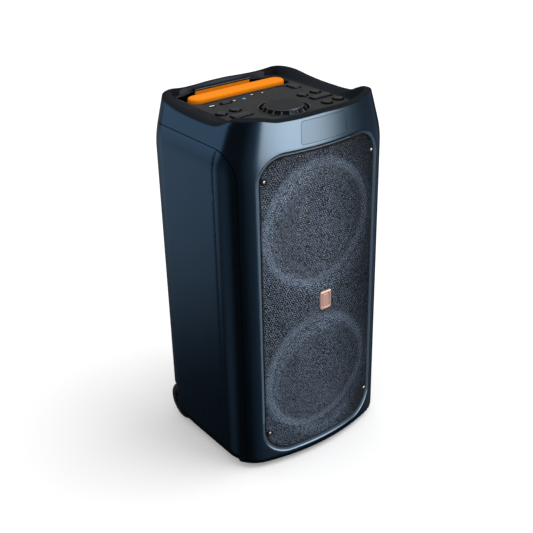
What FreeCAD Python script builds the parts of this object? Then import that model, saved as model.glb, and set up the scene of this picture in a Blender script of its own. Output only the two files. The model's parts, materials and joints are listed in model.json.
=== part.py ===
import FreeCAD, Part
import math
import os

from FreeCAD import Vector

# Party speaker on two wheels, millimetres.
# Origin on the floor at the middle of the footprint; +Z up, the grille faces -Y.

# ---- driving dimensions -------------------------------------------------
HALF_WIDTH = 177.0        # side face of the cabinet
HALF_DEPTH = 166.0        # front and rear apex of the bowed faces
BODY_BOTTOM = 9.0         # lower edge of the front shell
PANEL_BOTTOM = 17.0       # lower edge of the side and rear panels
CHIN_END = -104.0         # the lower front edge ends here on each side
CREASE_Z = 615.0          # the walls lean in above this height
CAP_TOP_Z = 705.0         # the leaning walls are drawn up to here, then trimmed
CAP_LEAN_SIDE = 31.0      # how far each side leans in between crease and cap top
CAP_LEAN_FRONT = 13.0
CAP_LEAN_REAR = 8.0
BOW_RADIUS = 437.0        # plan radius of the front and rear faces
CORNER_RADIUS = 65.0
CAP_CORNER_RADIUS = 48.0
WALL = 4.0                # moulded outer shells
LINER_GAP = 0.6           # between outer shells and the inner cabinet
LINER = 7.0               # inner cabinet wall
LINER_FLOOR = 28.0
SEAM = 0.4                # half of the gap between two shells

RIM_BAND = 3.5            # black rim above the painted shell
DECK_Z = 670.0
DECK_PLATE = 4.0
RIM_WALL = 8.5            # rim thickness left outside the deck's hollow
DECK_HALF = 117.0

GRILLE_HALF = 131.0       # half width of the front opening
GRILLE_LOW, GRILLE_HIGH = 30.0, 630.0
GRILLE_R_TOP, GRILLE_R_LOW = 45.0, 52.0
GRILLE_GAP = 2.2
GRILLE_RECESS = 3.0
GRILLE_SHEET = 1.5
SCREW_PLACES = [(x, z) for x in (-121.0, 121.0) for z in (76.0, 590.0)]
SCREW_R = 1.5
BADGE_Z = 333.0
BADGE_HALF, BADGE_RISE = 13.0, 19.0       # half width and half height of the plaque
BADGE_PIN_R = 2.5
PLATE_HALF, PLATE_LOW, PLATE_HIGH, PLATE_R = 54.0, 642.0, 681.0, 5.0

BAFFLE_FRONT = -136.0
BAFFLE_THICK = 12.0
DRIVER_Z = {"upper": 479.0, "lower": 168.0}
RING_OUT, RING_IN, RING_THICK = 124.0, 104.0, 4.0
BASKET_R = 103.5
CONE_R = 78.0
CONE_FRONT = BAFFLE_FRONT - 1.0
CONE_DEPTH = 40.0
CONE_NECK_R = 19.0
COIL_R = 18.5

KNOB_Y = -49.0
KNOB_RING_R = 47.4
KNOB_R = 42.5
KNOB_TOP_R = 33.0
KNOB_TOP_Z = 677.5
KNOB_FLUTES = 16
SHAFT_R = 3.0
RUNNING_GAP = 0.05

BUTTON_RISE = 3.0
BUTTON_GAP = 0.5
BOARD_TOP = 657.0
SWITCH_RISE = 2.2

GRIP_Y = 93.0
GRIP_HALF = 107.0
GRIP_DEPTH = 34.0
GRIP_LOW, GRIP_TOP = 654.0, 675.0
TUBE_X = 85.0
TUBE_OUTER_R, TUBE_MIDDLE_R, TUBE_INNER_R = 10.0, 8.2, 6.4
TUBE_WALL = 1.5
TUBE_FLOOR_Z = 50.0
WELL_FRONT, WELL_REAR = 68.0, 156.0
WELL_HALF = 113.0
WELL_FLOOR = 618.0
RELEASE_Y, RELEASE_TOP = 138.0, 669.6
HOOD_HALF, HOOD_TOP = 64.0, 677.0
GUIDE_X, GUIDE_Z, GUIDE_R = (-48.0, 48.0), 650.0, 2.0

WHEEL_R = 39.0
WHEEL_Y = 94.0
WHEEL_IN, WHEEL_OUT = 139.5, 169.5
HUB_R = 27.0
AXLE_R = 4.0
POCKET_GAP = 4.0
POCKET_WALL = 3.0
PANEL_HEEL_R = 30.0
FOOT_R, FOOT_HEIGHT = 17.0, 14.0
FOOT_X, FOOT_Y = 112.0, -104.0
BASE_THICK = 6.0

SIDE_SEAM_FRONT, SIDE_SEAM_REAR = -126.0, 128.0
SIDE_SEAM_LOW, SIDE_SEAM_HIGH = 16.2, 641.0
TRIM_SEAM = -78.0

IO_HALF, IO_LOW, IO_HIGH = 75.0, 105.0, 205.0
IO_FLOOR_Y, IO_RIM_Y = 146.0, 158.5
JACK_X = (-48.0, -20.0)
JACK_Z = 172.0
JACK_BORE_R = 3.2         # quarter-inch sockets
JACK_LENGTH = 30.0
JACK_FACE_Y = 154.0
INLET_X, INLET_Z = 44.0, 132.0
SWITCH_X = 10.0
PIVOT_Y, PIVOT_R = 146.0, 1.2
ROCKER_TIP = 6.0          # degrees either side of flat

PORT_Z = 330.0
PORT_R = 34.0
PORT_WALL = 3.0
PORT_MOUTH_Y = 158.0

BOARD_LOW, BOARD_HIGH = 225.0, 285.0      # amplifier board
FIN_COUNT, FIN_PITCH = 9, 12.0
BATTERY_HALF, BATTERY_TOP = 60.0, 150.0
MAGNET_R, MAGNET_THICK = 60.0, 22.0
BASKET_DEPTH = 70.0
SURROUND_ROLL = 5.9
CAP_EDGE_R, CAP_RISE = 30.0, 9.0          # dust cap

FAR = 220.0               # well outside the body

UP = Vector(0, 0, 1)
BACK = Vector(0, 1, 0)
RIGHT = Vector(1, 0, 0)


# ---- small shape helpers ------------------------------------------------
def box(x0, x1, y0, y1, z0, z1):
    return Part.makeBox(x1 - x0, y1 - y0, z1 - z0, Vector(x0, y0, z0))


def rod(radius, length, base, axis=UP):
    return Part.makeCylinder(radius, length, base, axis)


def tube(r_out, r_in, length, base, axis=UP):
    return rod(r_out, length, base, axis).cut(rod(r_in, length, base, axis))


def cone(r_start, r_end, length, base, axis=UP):
    return Part.makeCone(r_start, r_end, length, base, axis)


def join(shapes):
    result = shapes[0]
    for shape in shapes[1:]:
        result = result.fuse(shape)
    return result.removeSplitter()


def group(shapes):
    return Part.makeCompound(shapes)


def other_side(shape):
    return shape.mirror(Vector(0, 0, 0), RIGHT)


def both_sides(shape):
    return group([shape, other_side(shape)])


def rounded_outline(low_u, high_u, low_v, high_v, radii, place):
    """Closed wire of a rectangle in (u, v) with four corner radii, counted
    from the low-low corner round to low-high; place maps (u, v) to a point."""
    corners = [(low_u, low_v), (high_u, low_v), (high_u, high_v), (low_u, high_v)]
    into = [(1, 1), (-1, 1), (-1, -1), (1, -1)]
    edges = []
    ends = []
    for (u, v), (du, dv), r in zip(corners, into, radii):
        along_v, along_u = (u, v + dv * r), (u + du * r, v)
        first, last = (along_v, along_u) if du == dv else (along_u, along_v)
        k = r * (1 - math.sqrt(0.5))
        edges.append(Part.Arc(place(*first), place(u + du * k, v + dv * k), place(*last)).toShape())
        ends.append((first, last))
    for i in range(4):
        edges.append(Part.makeLine(place(*ends[i][1]), place(*ends[(i + 1) % 4][0])))
    return Part.Wire(Part.__sortEdges__(edges))


def plan_block(half_x, y0, y1, radius, z0, z1, middle_x=0.0):
    wire = rounded_outline(middle_x - half_x, middle_x + half_x, y0, y1, [radius] * 4,
                           lambda u, v: Vector(u, v, z0))
    return Part.Face(wire).extrude(Vector(0, 0, z1 - z0))


def front_block(half_x, z0, z1, r_low, r_top, y0, y1):
    wire = rounded_outline(-half_x, half_x, z0, z1, [r_low, r_low, r_top, r_top],
                           lambda u, v: Vector(u, y0, v))
    return Part.Face(wire).extrude(Vector(0, y1 - y0, 0))


def revolve_about_y(points, axis_z):
    """Ring from (radius, y) points turned about the line x = 0, z = axis_z."""
    wire = Part.makePolygon([Vector(r, y, axis_z) for r, y in points + points[:1]])
    return Part.Face(wire).revolve(Vector(0, 0, axis_z), BACK, 360)


# ---- the outer form -----------------------------------------------------
def plan_section(half_width, front, rear, corner, z):
    """Plan outline: two bowed faces, two flat sides and four tangent corners."""
    across = half_width - corner
    reach = math.sqrt((BOW_RADIUS - corner) ** 2 - across ** 2)
    spread = across * BOW_RADIUS / (BOW_RADIUS - corner)
    run = reach * BOW_RADIUS / (BOW_RADIUS - corner)
    edges = []
    for sign, apex in ((-1, front), (1, rear)):
        centre_y = sign * (apex - BOW_RADIUS)
        corner_y = centre_y + sign * reach
        bow_end_y = centre_y + sign * run
        angle = math.atan2(reach, across)
        middle = angle / 2
        mid_x = across + corner * math.cos(middle)
        mid_y = corner_y + sign * corner * math.sin(middle)
        edges.append(Part.Arc(Vector(-spread, bow_end_y, z), Vector(0, sign * apex, z),
                              Vector(spread, bow_end_y, z)).toShape())
        for side in (-1, 1):
            edges.append(Part.Arc(Vector(side * spread, bow_end_y, z), Vector(side * mid_x, mid_y, z),
                                  Vector(side * half_width, corner_y, z)).toShape())
    front_y = -(front - BOW_RADIUS) - reach
    rear_y = (rear - BOW_RADIUS) + reach
    for side in (-1, 1):
        edges.append(Part.makeLine(Vector(side * half_width, front_y, z),
                                   Vector(side * half_width, rear_y, z)))
    return Part.Wire(Part.__sortEdges__(edges))


def body_form(inset, z0=BODY_BOTTOM):
    """The outer form moved inwards by inset: straight walls, then the leaning cap."""
    low = plan_section(HALF_WIDTH - inset, HALF_DEPTH - inset, HALF_DEPTH - inset,
                       CORNER_RADIUS - inset, CREASE_Z)
    high = plan_section(HALF_WIDTH - CAP_LEAN_SIDE - inset, HALF_DEPTH - CAP_LEAN_FRONT - inset,
                        HALF_DEPTH - CAP_LEAN_REAR - inset, CAP_CORNER_RADIUS - inset, CAP_TOP_Z)
    walls = Part.Face(low).extrude(Vector(0, 0, z0 - CREASE_Z))
    cap = Part.makeLoft([low, high], True, True)
    return walls.fuse(cap)


def above(points, lift, along_x):
    """Everything above a curve of (position, height) points, swept across the body."""
    reach = FAR
    if along_x:
        knots = [Vector(p, -reach, z + lift) for p, z in points]
        sweep = Vector(0, 2 * reach, 0)
    else:
        knots = [Vector(-reach, p, z + lift) for p, z in points]
        sweep = Vector(2 * reach, 0, 0)
    curve = Part.BSplineCurve()
    curve.interpolate(knots)
    roof = CAP_TOP_Z + 60
    first, last = knots[0], knots[-1]
    corner_a = Vector(first.x, first.y, roof)
    corner_b = Vector(last.x, last.y, roof)
    wire = Part.Wire([curve.toShape(), Part.makeLine(last, corner_b),
                      Part.makeLine(corner_b, corner_a), Part.makeLine(corner_a, first)])
    return Part.Face(wire).extrude(sweep)


# Height of the painted shell's upper edge: (y, z) along the sides, (x, z) at front and rear.
SIDE_EDGE = [(-190, 693), (-125, 693), (-103, 690.5), (-87, 685), (-73, 678), (-58, 673.5), (-40, 671.8),
             (0, 671), (55, 673), (90, 677), (115, 681.5), (140, 684.5), (190, 684.5)]
FRONT_EDGE = [(-190, 702), (-140, 694.5), (-123, 693), (-108, 689.5), (-94, 686.5), (-75, 685.8), (0, 687),
              (75, 685.8), (94, 686.5), (108, 689.5), (123, 693), (140, 694.5), (190, 702)]
REAR_EDGE = [(-190, 694), (-125, 685), (-100, 680), (0, 677.5), (100, 680), (125, 685), (190, 694)]


def trimmed_away(lift):
    """The air above the scalloped upper edge, moved up by lift."""
    front_air = above(FRONT_EDGE, lift, True).common(box(-FAR, FAR, -220, -60, 600, 800))
    rear_air = above(REAR_EDGE, lift, True).common(box(-FAR, FAR, 100, FAR, 600, 800))
    return join([above(SIDE_EDGE, lift, False), front_air, rear_air])


def side_zone(shrink):
    """Block through the left wall that the side trim and side panel fill."""
    wire = rounded_outline(SIDE_SEAM_FRONT + shrink, SIDE_SEAM_REAR - shrink,
                           SIDE_SEAM_LOW + shrink, SIDE_SEAM_HIGH - shrink,
                           [22 - shrink, 1.0, 18 - shrink, 50 - shrink],
                           lambda u, v: Vector(-FAR, u, v))
    return Part.Face(wire).extrude(Vector(130, 0, 0))


def wheel_pocket(grow):
    """Space round the left wheel, open downwards, backwards and past the panel."""
    front = WHEEL_Y - WHEEL_R - POCKET_GAP - grow
    roof = 2 * WHEEL_R + POCKET_GAP + grow
    inner = -(WHEEL_IN - POCKET_GAP) + grow
    return box(-(HALF_WIDTH - WALL), inner, front, 200, -5, roof)


def wheel_window():
    """Opening in the left wall that shows the wheel behind the side panel.
    The panel's lower rear corner stays, rounded with radius PANEL_HEEL_R."""
    edge_y = WHEEL_Y + 3.0
    roof = 2 * WHEEL_R + POCKET_GAP
    inner = -(WHEEL_IN - POCKET_GAP)
    middle_y = edge_y - PANEL_HEEL_R
    middle_z = PANEL_BOTTOM + PANEL_HEEL_R
    behind = box(-FAR, inner, edge_y, FAR, -30, roof)
    corner = box(-FAR, inner, middle_y, edge_y, -30, middle_z)
    heel = rod(PANEL_HEEL_R, FAR, Vector(-FAR, middle_y, middle_z), RIGHT)
    return behind.fuse(corner.cut(heel))


# ---- outer shells -------------------------------------------------------
def outer_wall():
    wall = body_form(0).cut(body_form(WALL, 0.0))
    window = wheel_window()
    wall = wall.cut(box(-FAR, FAR, CHIN_END, FAR, 0, PANEL_BOTTOM))
    return wall.cut(trimmed_away(0)).cut(window).cut(other_side(window))


def grille_opening(grow, y0=-200.0, y1=BAFFLE_FRONT):
    return front_block(GRILLE_HALF + grow, GRILLE_LOW - grow, GRILLE_HIGH + grow,
                       GRILLE_R_LOW + grow, GRILLE_R_TOP + grow, y0, y1)


def nameplate_block(grow, y0, y1):
    return front_block(PLATE_HALF + grow, PLATE_LOW - grow, PLATE_HIGH + grow,
                       PLATE_R + grow, PLATE_R + grow, y0, y1)


def front_shell(wall):
    zone = side_zone(0)
    shell = wall.cut(zone).cut(other_side(zone))
    shell = shell.cut(box(-FAR, FAR, SIDE_SEAM_REAR - SEAM, FAR, 0, SIDE_SEAM_HIGH))
    frame = grille_opening(3.0).common(body_form(1.0)).cut(box(-FAR, FAR, BAFFLE_FRONT, FAR, 0, 720))
    shell = shell.fuse(frame).cut(grille_opening(0.0, -200.0, -100.0))
    return shell.cut(nameplate_block(0.4, -200.0, -120.0)).removeSplitter()


def side_trims(wall):
    trim = wall.common(side_zone(2 * SEAM)).cut(box(-FAR, 0, TRIM_SEAM - SEAM, FAR, 0, 720))
    return both_sides(trim)


def side_panel(wall):
    return wall.common(side_zone(2 * SEAM)).cut(box(-FAR, 0, -220, TRIM_SEAM + SEAM, 0, 720))


def rear_panel(wall):
    high = SIDE_SEAM_HIGH - 2 * SEAM
    panel = wall.common(box(-FAR, FAR, SIDE_SEAM_REAR + SEAM, FAR, 0, high))
    panel = panel.cut(box(-IO_HALF - 0.5, IO_HALF + 0.5, 100, 200, IO_LOW - 0.5, IO_HIGH + 0.5))
    return panel.cut(rod(PORT_R + 4.5, 100, Vector(0, 120, PORT_Z), BACK))


def cabinet():
    inset = WALL + LINER_GAP
    top = WELL_FLOOR - 8.0
    outer = body_form(inset).common(box(-FAR, FAR, BAFFLE_FRONT + BAFFLE_THICK, FAR, 20.6, top))
    inside = body_form(inset + LINER, 0.0).common(box(-FAR, FAR, -FAR, FAR, LINER_FLOOR, top - LINER))
    shell = outer.cut(inside)
    pocket = wheel_pocket(POCKET_WALL)
    tubes = [rod(TUBE_OUTER_R + 0.2, 60, Vector(side * TUBE_X, GRIP_Y, 590)) for side in (-1, 1)]
    holes = [pocket, other_side(pocket), rod(PORT_R + 4.5, 100, Vector(0, 120, PORT_Z), BACK),
             box(-IO_HALF - 0.5, IO_HALF + 0.5, 100, 200, IO_LOW - 0.5, IO_HIGH + 0.5)] + tubes
    for hole in holes:
        shell = shell.cut(hole)
    return shell


def base_panel():
    plate = body_form(WALL + SEAM).common(
        box(-FAR, FAR, -FAR, FAR, FOOT_HEIGHT, FOOT_HEIGHT + BASE_THICK))
    pocket = wheel_pocket(POCKET_WALL)
    return plate.cut(pocket).cut(other_side(pocket))


def baffle():
    board = body_form(WALL + LINER_GAP).common(
        box(-142, 142, BAFFLE_FRONT, BAFFLE_FRONT + BAFFLE_THICK, 21, 634))
    for z in DRIVER_Z.values():
        board = board.cut(rod(92, 60, Vector(0, BAFFLE_FRONT - 20, z), BACK))
    return board


def wheel_housings():
    shell = wheel_pocket(POCKET_WALL).cut(wheel_pocket(0.0)).common(box(-FAR, 0, -FAR, FAR, 21, 200))
    inside = body_form(WALL + LINER_GAP, 0.0)
    shell = shell.common(inside)
    return both_sides(shell.cut(rod(AXLE_R, 60, Vector(-160, WHEEL_Y, WHEEL_R), RIGHT)))


# ---- top deck -----------------------------------------------------------
def deck_recess():
    """Flaring hollow down to the deck, kept inside the rim all round."""
    low = rounded_outline(-DECK_HALF, DECK_HALF, -130, 158, [24] * 4,
                          lambda u, v: Vector(u, v, DECK_Z))
    high = rounded_outline(-146, 146, -147, 170, [40] * 4, lambda u, v: Vector(u, v, DECK_Z + 38))
    return Part.makeLoft([low, high], True, True).common(body_form(RIM_WALL))


def top_deck():
    rim = body_form(0.6).common(trimmed_away(0.4)).cut(trimmed_away(RIM_BAND))
    core = body_form(WALL + 0.4).cut(box(-FAR, FAR, -FAR, FAR, 0, 648)).cut(trimmed_away(RIM_BAND))
    under = body_form(WALL + 4.4, 0.0).cut(box(-FAR, FAR, -FAR, FAR, DECK_Z - DECK_PLATE, 760))
    deck = core.fuse(rim).cut(under).cut(deck_recess())
    deck = deck.cut(nameplate_block(1.0, -200.0, -140.0))
    deck = deck.cut(well_block(0.0, 600, 720))
    deck = deck.cut(rod(KNOB_RING_R, 60, Vector(0, KNOB_Y, 640)))
    hood = box(-HOOD_HALF, HOOD_HALF, RELEASE_Y - 0.5, WELL_REAR, RELEASE_TOP + 1.4, HOOD_TOP)
    hood = hood.common(body_form(RIM_WALL - 2.0))
    deck = deck.fuse(hood)
    for outline in buttons(BUTTON_GAP, DECK_Z - 20, DECK_Z + 20).values():
        deck = deck.cut(outline)
    for lamp in lamps(0.15, DECK_Z - 20, DECK_Z + 20).values():
        deck = deck.cut(lamp)
    return deck.removeSplitter()


def well_block(shrink, z0, z1):
    """Handle well in plan, which follows the rear wall of the cap."""
    block = plan_block(WELL_HALF - shrink, WELL_FRONT + shrink, WELL_REAR, 16 - shrink, z0, z1)
    return block.common(body_form(RIM_WALL + shrink))


def knob_ring():
    dish = rod(KNOB_RING_R, 8.2, Vector(0, KNOB_Y, 663)).cut(rod(44.2, 8, Vector(0, KNOB_Y, 665)))
    return dish.cut(rod(6.2, 20, Vector(0, KNOB_Y, 650)))


def volume_knob():
    skirt = cone(KNOB_R, KNOB_TOP_R + 1.5, 9.0, Vector(0, KNOB_Y, 665.6))
    crown = cone(KNOB_TOP_R + 1.5, KNOB_TOP_R, KNOB_TOP_Z - 674.6, Vector(0, KNOB_Y, 674.6))
    knob = skirt.fuse(crown)
    for i in range(KNOB_FLUTES):
        angle = 2 * math.pi * i / KNOB_FLUTES
        place = Vector(41.5 * math.cos(angle), KNOB_Y + 41.5 * math.sin(angle), 664)
        knob = knob.cut(rod(2.4, 9.5, place))
    knob = knob.fuse(rod(5.6, 6, Vector(0, KNOB_Y, 660.6)))
    return knob.cut(rod(SHAFT_R + RUNNING_GAP, 14, Vector(0, KNOB_Y, 658)))


def encoder():
    case = box(-7, 7, KNOB_Y - 7, KNOB_Y + 7, BOARD_TOP, 660)
    return case.fuse(rod(SHAFT_R, 10.5, Vector(0, KNOB_Y, 660)))


def control_board():
    """Board on four posts under the deck, with one switch below every button."""
    board = plan_block(120, -122, 60, 8, BOARD_TOP - 2, BOARD_TOP)
    posts = [rod(3, DECK_Z - DECK_PLATE - BOARD_TOP, Vector(x, y, BOARD_TOP))
             for x in (-112, 112) for y in (-112, 52)]
    switches = []
    for cap in buttons(0.0, BOARD_TOP, BOARD_TOP + 1).values():
        middle = cap.BoundBox.Center
        switches.append(rod(2, SWITCH_RISE, Vector(middle.x, middle.y, BOARD_TOP)))
    return join([board] + posts + switches)


def buttons(grow, z0, z1):
    """Every push button's plan shape, from z0 to z1."""
    shapes = {}
    for name, x, y, r in (("power_button", -105, -6, 10), ("source_button", -74, -4, 10),
                          ("bass_button", 72, -12, 9.5), ("next_button", 103, -12, 9.5),
                          ("mic_button", 77, -75, 9.5), ("guitar_button", 106, -72, 9.5)):
        shapes[name] = rod(r + grow, z1 - z0, Vector(x, y, z0))
    for name, x, y, half_x, half_y, r in (("light_button", -83, -35, 20, 7.5, 3.0),
                                          ("play_button", 92, -40, 22, 7.5, 3.0),
                                          ("effect_button", 95, 43, 9, 13, 4.0),
                                          ("pairing_button", -62, 42, 12, 4.5, 4.4)):
        shapes[name] = plan_block(half_x + grow, y - half_y - grow, y + half_y + grow, r + grow,
                                  z0, z1, x)
    return shapes


def button_parts():
    caps = buttons(0.0, 660.4, DECK_Z + BUTTON_RISE)
    flanges = buttons(2.0, 660.4, DECK_Z - DECK_PLATE - 0.5)
    return {name: caps[name].fuse(flanges[name]) for name in caps}


def lamps(grow, z0, z1):
    """Plan shapes of the small light windows in the deck."""
    places = {"lamp_a": (-92, 42, 7.5), "lamp_b": (-43, 42, 4.5), "lamp_blue": (-21, 42, 3.6),
              "lamp_c": (3, 51, 5.0), "lamp_d": (25, 48, 4.5)}
    return {name: rod(r + grow, z1 - z0, Vector(x, y, z0)) for name, (x, y, r) in places.items()}


# ---- front details ------------------------------------------------------
def grille():
    apex = HALF_DEPTH - GRILLE_RECESS
    centre = Vector(0, -apex + BOW_RADIUS, 0)
    sheet = tube(BOW_RADIUS, BOW_RADIUS - GRILLE_SHEET, 700, centre)
    sheet = sheet.common(grille_opening(-GRILLE_GAP, -200.0, -100.0))
    for x, z in SCREW_PLACES:
        sheet = sheet.cut(rod(SCREW_R + 0.1, 60, Vector(x, -180, z), BACK))
    return sheet.cut(rod(BADGE_PIN_R + 0.1, 60, Vector(0, -180, BADGE_Z), BACK))


def on_grille(x):
    """Front surface of the grille sheet at x."""
    return -(HALF_DEPTH - GRILLE_RECESS) + BOW_RADIUS - math.sqrt(BOW_RADIUS ** 2 - x ** 2)


def grille_screws():
    screws = []
    for x, z in SCREW_PLACES:
        y = on_grille(x) - 1.2
        head = rod(3.2, 1.6, Vector(x, y - 1.6, z), BACK)
        screws.append(head.fuse(rod(SCREW_R, BAFFLE_FRONT + 8 - y, Vector(x, y, z), BACK)))
    return group(screws)


def badge():
    y = -HALF_DEPTH
    plate = front_block(BADGE_HALF, BADGE_Z - BADGE_RISE, BADGE_Z + BADGE_RISE, 5, 5, y, y + 2.9)
    raised = plate.cut(front_block(8.5, BADGE_Z - 14, BADGE_Z + 14, 3, 3, y - 1, y + 1.0))
    return raised.fuse(rod(BADGE_PIN_R, 24, Vector(0, y + 2, BADGE_Z), BACK))


def nameplate():
    skin = body_form(0).cut(body_form(2.0, 0.0))
    return skin.common(nameplate_block(0.0, -200.0, -120.0))


def light_rings():
    return group([tube(RING_OUT, RING_IN, RING_THICK, Vector(0, BAFFLE_FRONT - RING_THICK, z), BACK)
                  for z in DRIVER_Z.values()])


# ---- drive units --------------------------------------------------------
def woofer_baskets():
    front = BAFFLE_FRONT
    back = front + BASKET_DEPTH
    outline = [(BASKET_R, front - 4), (BASKET_R, front), (91.5, front), (50, back - 4),
               (50, back), (24, back), (24, back - 4), (47, back - 4),
               (88.5, front), (93.5, front - 4)]
    return group([revolve_about_y(outline, z) for z in DRIVER_Z.values()])


def woofer_magnets():
    back = BAFFLE_FRONT + BASKET_DEPTH
    magnets = []
    for z in DRIVER_Z.values():
        ring = tube(MAGNET_R, 21, MAGNET_THICK, Vector(0, back, z), BACK)
        plate = rod(52, 6, Vector(0, back + MAGNET_THICK, z), BACK)
        pole = rod(15.5, MAGNET_THICK, Vector(0, back, z), BACK)
        magnets.append(join([ring, plate, pole]))
    return group(magnets)


def surround(z):
    """Half roll between the cone edge and the basket flange."""
    y = BAFFLE_FRONT - 1.5
    middle, roll, thick = (CONE_R + 90.5) / 2, SURROUND_ROLL, 1.2
    outer = Part.Arc(Vector(middle - roll, y, z), Vector(middle, y - roll, z),
                     Vector(middle + roll, y, z)).toShape()
    inner = Part.Arc(Vector(middle - roll + thick, y, z), Vector(middle, y - roll + thick, z),
                     Vector(middle + roll - thick, y, z)).toShape()
    sides = [Part.makeLine(Vector(middle - roll, y, z), Vector(middle - roll + thick, y, z)),
             Part.makeLine(Vector(middle + roll, y, z), Vector(middle + roll - thick, y, z))]
    return Part.Face(Part.Wire(Part.__sortEdges__([outer, inner] + sides))).revolve(
        Vector(0, 0, z), BACK, 360)


def speaker_cone(z):
    front, neck = CONE_FRONT, CONE_FRONT + CONE_DEPTH
    outline = [(CONE_R, front), (CONE_NECK_R, neck), (CONE_NECK_R, neck + 1.5), (CONE_R, front + 1.5)]
    return revolve_about_y(outline, z)


def dust_cap(z):
    """Shallow dome that covers the voice coil."""
    edge_r, rise, thick = CAP_EDGE_R, CAP_RISE, 1.0
    radius = (edge_r ** 2 + rise ** 2) / (2 * rise)
    slope = CONE_DEPTH / (CONE_R - CONE_NECK_R)
    edge_y = CONE_FRONT + (CONE_R - edge_r) * slope - 0.1
    centre = Vector(0, edge_y - rise + radius, z)
    dome = Part.makeSphere(radius, centre).cut(Part.makeSphere(radius - thick, centre))
    return dome.common(rod(edge_r, rise, Vector(0, edge_y - rise, z), BACK))


def voice_coil(z):
    return tube(COIL_R, COIL_R - 1.0, 30, Vector(0, CONE_FRONT + CONE_DEPTH + 1.5, z), BACK)


# ---- trolley handle -----------------------------------------------------
def handle_well():
    """Tray for the stowed grip, with the latch case and the release's guide pins."""
    tray = well_block(0.4, WELL_FLOOR - 3, DECK_Z - DECK_PLATE - 0.2).cut(well_block(2.4, WELL_FLOOR, 720))
    inside = body_form(RIM_WALL + 1.0)
    latch_case = plan_block(17, 122, 152, 4, WELL_FLOOR - 1, 663, 86).common(inside)
    tray = tray.fuse(latch_case)
    for x in GUIDE_X:
        tray = tray.fuse(rod(GUIDE_R, 30, Vector(x, RELEASE_Y - 1, GUIDE_Z), BACK).common(inside))
    for side in (-1, 1):
        tray = tray.cut(rod(TUBE_OUTER_R + 0.2, 20, Vector(side * TUBE_X, GRIP_Y, 605)))
    return tray


def handle_outer_tubes():
    return group([tube(TUBE_OUTER_R, TUBE_OUTER_R - TUBE_WALL, WELL_FLOOR + 4 - TUBE_FLOOR_Z,
                       Vector(side * TUBE_X, GRIP_Y, TUBE_FLOOR_Z)) for side in (-1, 1)])


def handle_middle_tubes():
    return group([tube(TUBE_MIDDLE_R, TUBE_MIDDLE_R - TUBE_WALL, 560,
                       Vector(side * TUBE_X, GRIP_Y, 66)) for side in (-1, 1)])


def handle_inner_tubes():
    return group([rod(TUBE_INNER_R, GRIP_LOW + 6 - 90, Vector(side * TUBE_X, GRIP_Y, 90))
                  for side in (-1, 1)])


def handle_grip():
    radius = GRIP_DEPTH / 2
    bar = plan_block(GRIP_HALF, GRIP_Y - radius, GRIP_Y + radius, radius - 0.01, GRIP_LOW, GRIP_TOP)
    rims = [edge for edge in bar.Edges if abs(edge.BoundBox.ZMin - edge.BoundBox.ZMax) < 0.01]
    bar = bar.makeFillet(4.0, rims)
    for side in (-1, 1):
        bar = bar.cut(rod(TUBE_INNER_R, 6, Vector(side * TUBE_X, GRIP_Y, GRIP_LOW)))
    return bar


def handle_release():
    """Paddle that slides backwards on two guide pins."""
    paddle = plan_block(63, RELEASE_Y, RELEASE_Y + 4.5, 2.2, 640, RELEASE_TOP)
    for x in GUIDE_X:
        paddle = paddle.cut(rod(GUIDE_R + RUNNING_GAP, 20, Vector(x, RELEASE_Y - 5, GUIDE_Z), BACK))
    return paddle


# ---- wheels and feet ----------------------------------------------------
def wheel(part):
    length = WHEEL_OUT - WHEEL_IN
    base = Vector(-WHEEL_OUT, WHEEL_Y, WHEEL_R)
    if part == "tyre":
        tyre = tube(WHEEL_R, HUB_R, length, base, RIGHT)
        rims = [edge for edge in tyre.Edges if edge.Curve.TypeId == "Part::GeomCircle"
                and edge.Curve.Radius > HUB_R + 1]
        return tyre.makeFillet(5.0, rims)
    hub = rod(HUB_R, length, base, RIGHT)
    dish = tube(HUB_R - 4, 10, 4, base, RIGHT)
    return hub.cut(dish).cut(rod(AXLE_R + RUNNING_GAP, length, base, RIGHT))


def wheel_axles():
    return both_sides(rod(AXLE_R, WHEEL_OUT + 1 - 122, Vector(-WHEEL_OUT - 1, WHEEL_Y, WHEEL_R), RIGHT))


def feet():
    return both_sides(rod(FOOT_R, FOOT_HEIGHT, Vector(-FOOT_X, FOOT_Y, 0)))


# ---- rear fittings and electronics --------------------------------------
def io_panel():
    dish = front_block(IO_HALF, IO_LOW, IO_HIGH, 6, 6, IO_FLOOR_Y, IO_RIM_Y).cut(
        front_block(IO_HALF - 3, IO_LOW + 3, IO_HIGH - 3, 4, 4, IO_FLOOR_Y + 3, 200))
    for x in JACK_X:
        dish = dish.cut(rod(7.5, 30, Vector(x, 130, JACK_Z), BACK))
    dish = dish.cut(box(INLET_X - 13, INLET_X + 13, 120, 200, INLET_Z - 8, INLET_Z + 8))
    frame = box(SWITCH_X - 11, SWITCH_X + 11, 136, 151, INLET_Z - 8, INLET_Z + 8)
    dish = dish.fuse(frame).cut(box(SWITCH_X - 9, SWITCH_X + 9, 139, 200, INLET_Z - 6, INLET_Z + 6))
    return dish.cut(switch_pivot(RUNNING_GAP, 10.2))


def audio_jacks():
    sockets = []
    for x in JACK_X:
        inner_end = JACK_FACE_Y - JACK_LENGTH
        body = rod(7.5, JACK_LENGTH + 3, Vector(x, inner_end - 3, JACK_Z), BACK)
        sockets.append(body.cut(rod(JACK_BORE_R, JACK_LENGTH, Vector(x, inner_end, JACK_Z), BACK)))
    return group(sockets)


def power_inlet():
    case = box(INLET_X - 13, INLET_X + 13, 128, 152, INLET_Z - 8, INLET_Z + 8)
    return case.cut(box(INLET_X - 10, INLET_X + 10, 138, 160, INLET_Z - 5, INLET_Z + 5))


def switch_pivot(grow, reach):
    return rod(PIVOT_R + grow, 2 * reach, Vector(SWITCH_X - reach, PIVOT_Y, INLET_Z), RIGHT)


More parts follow.
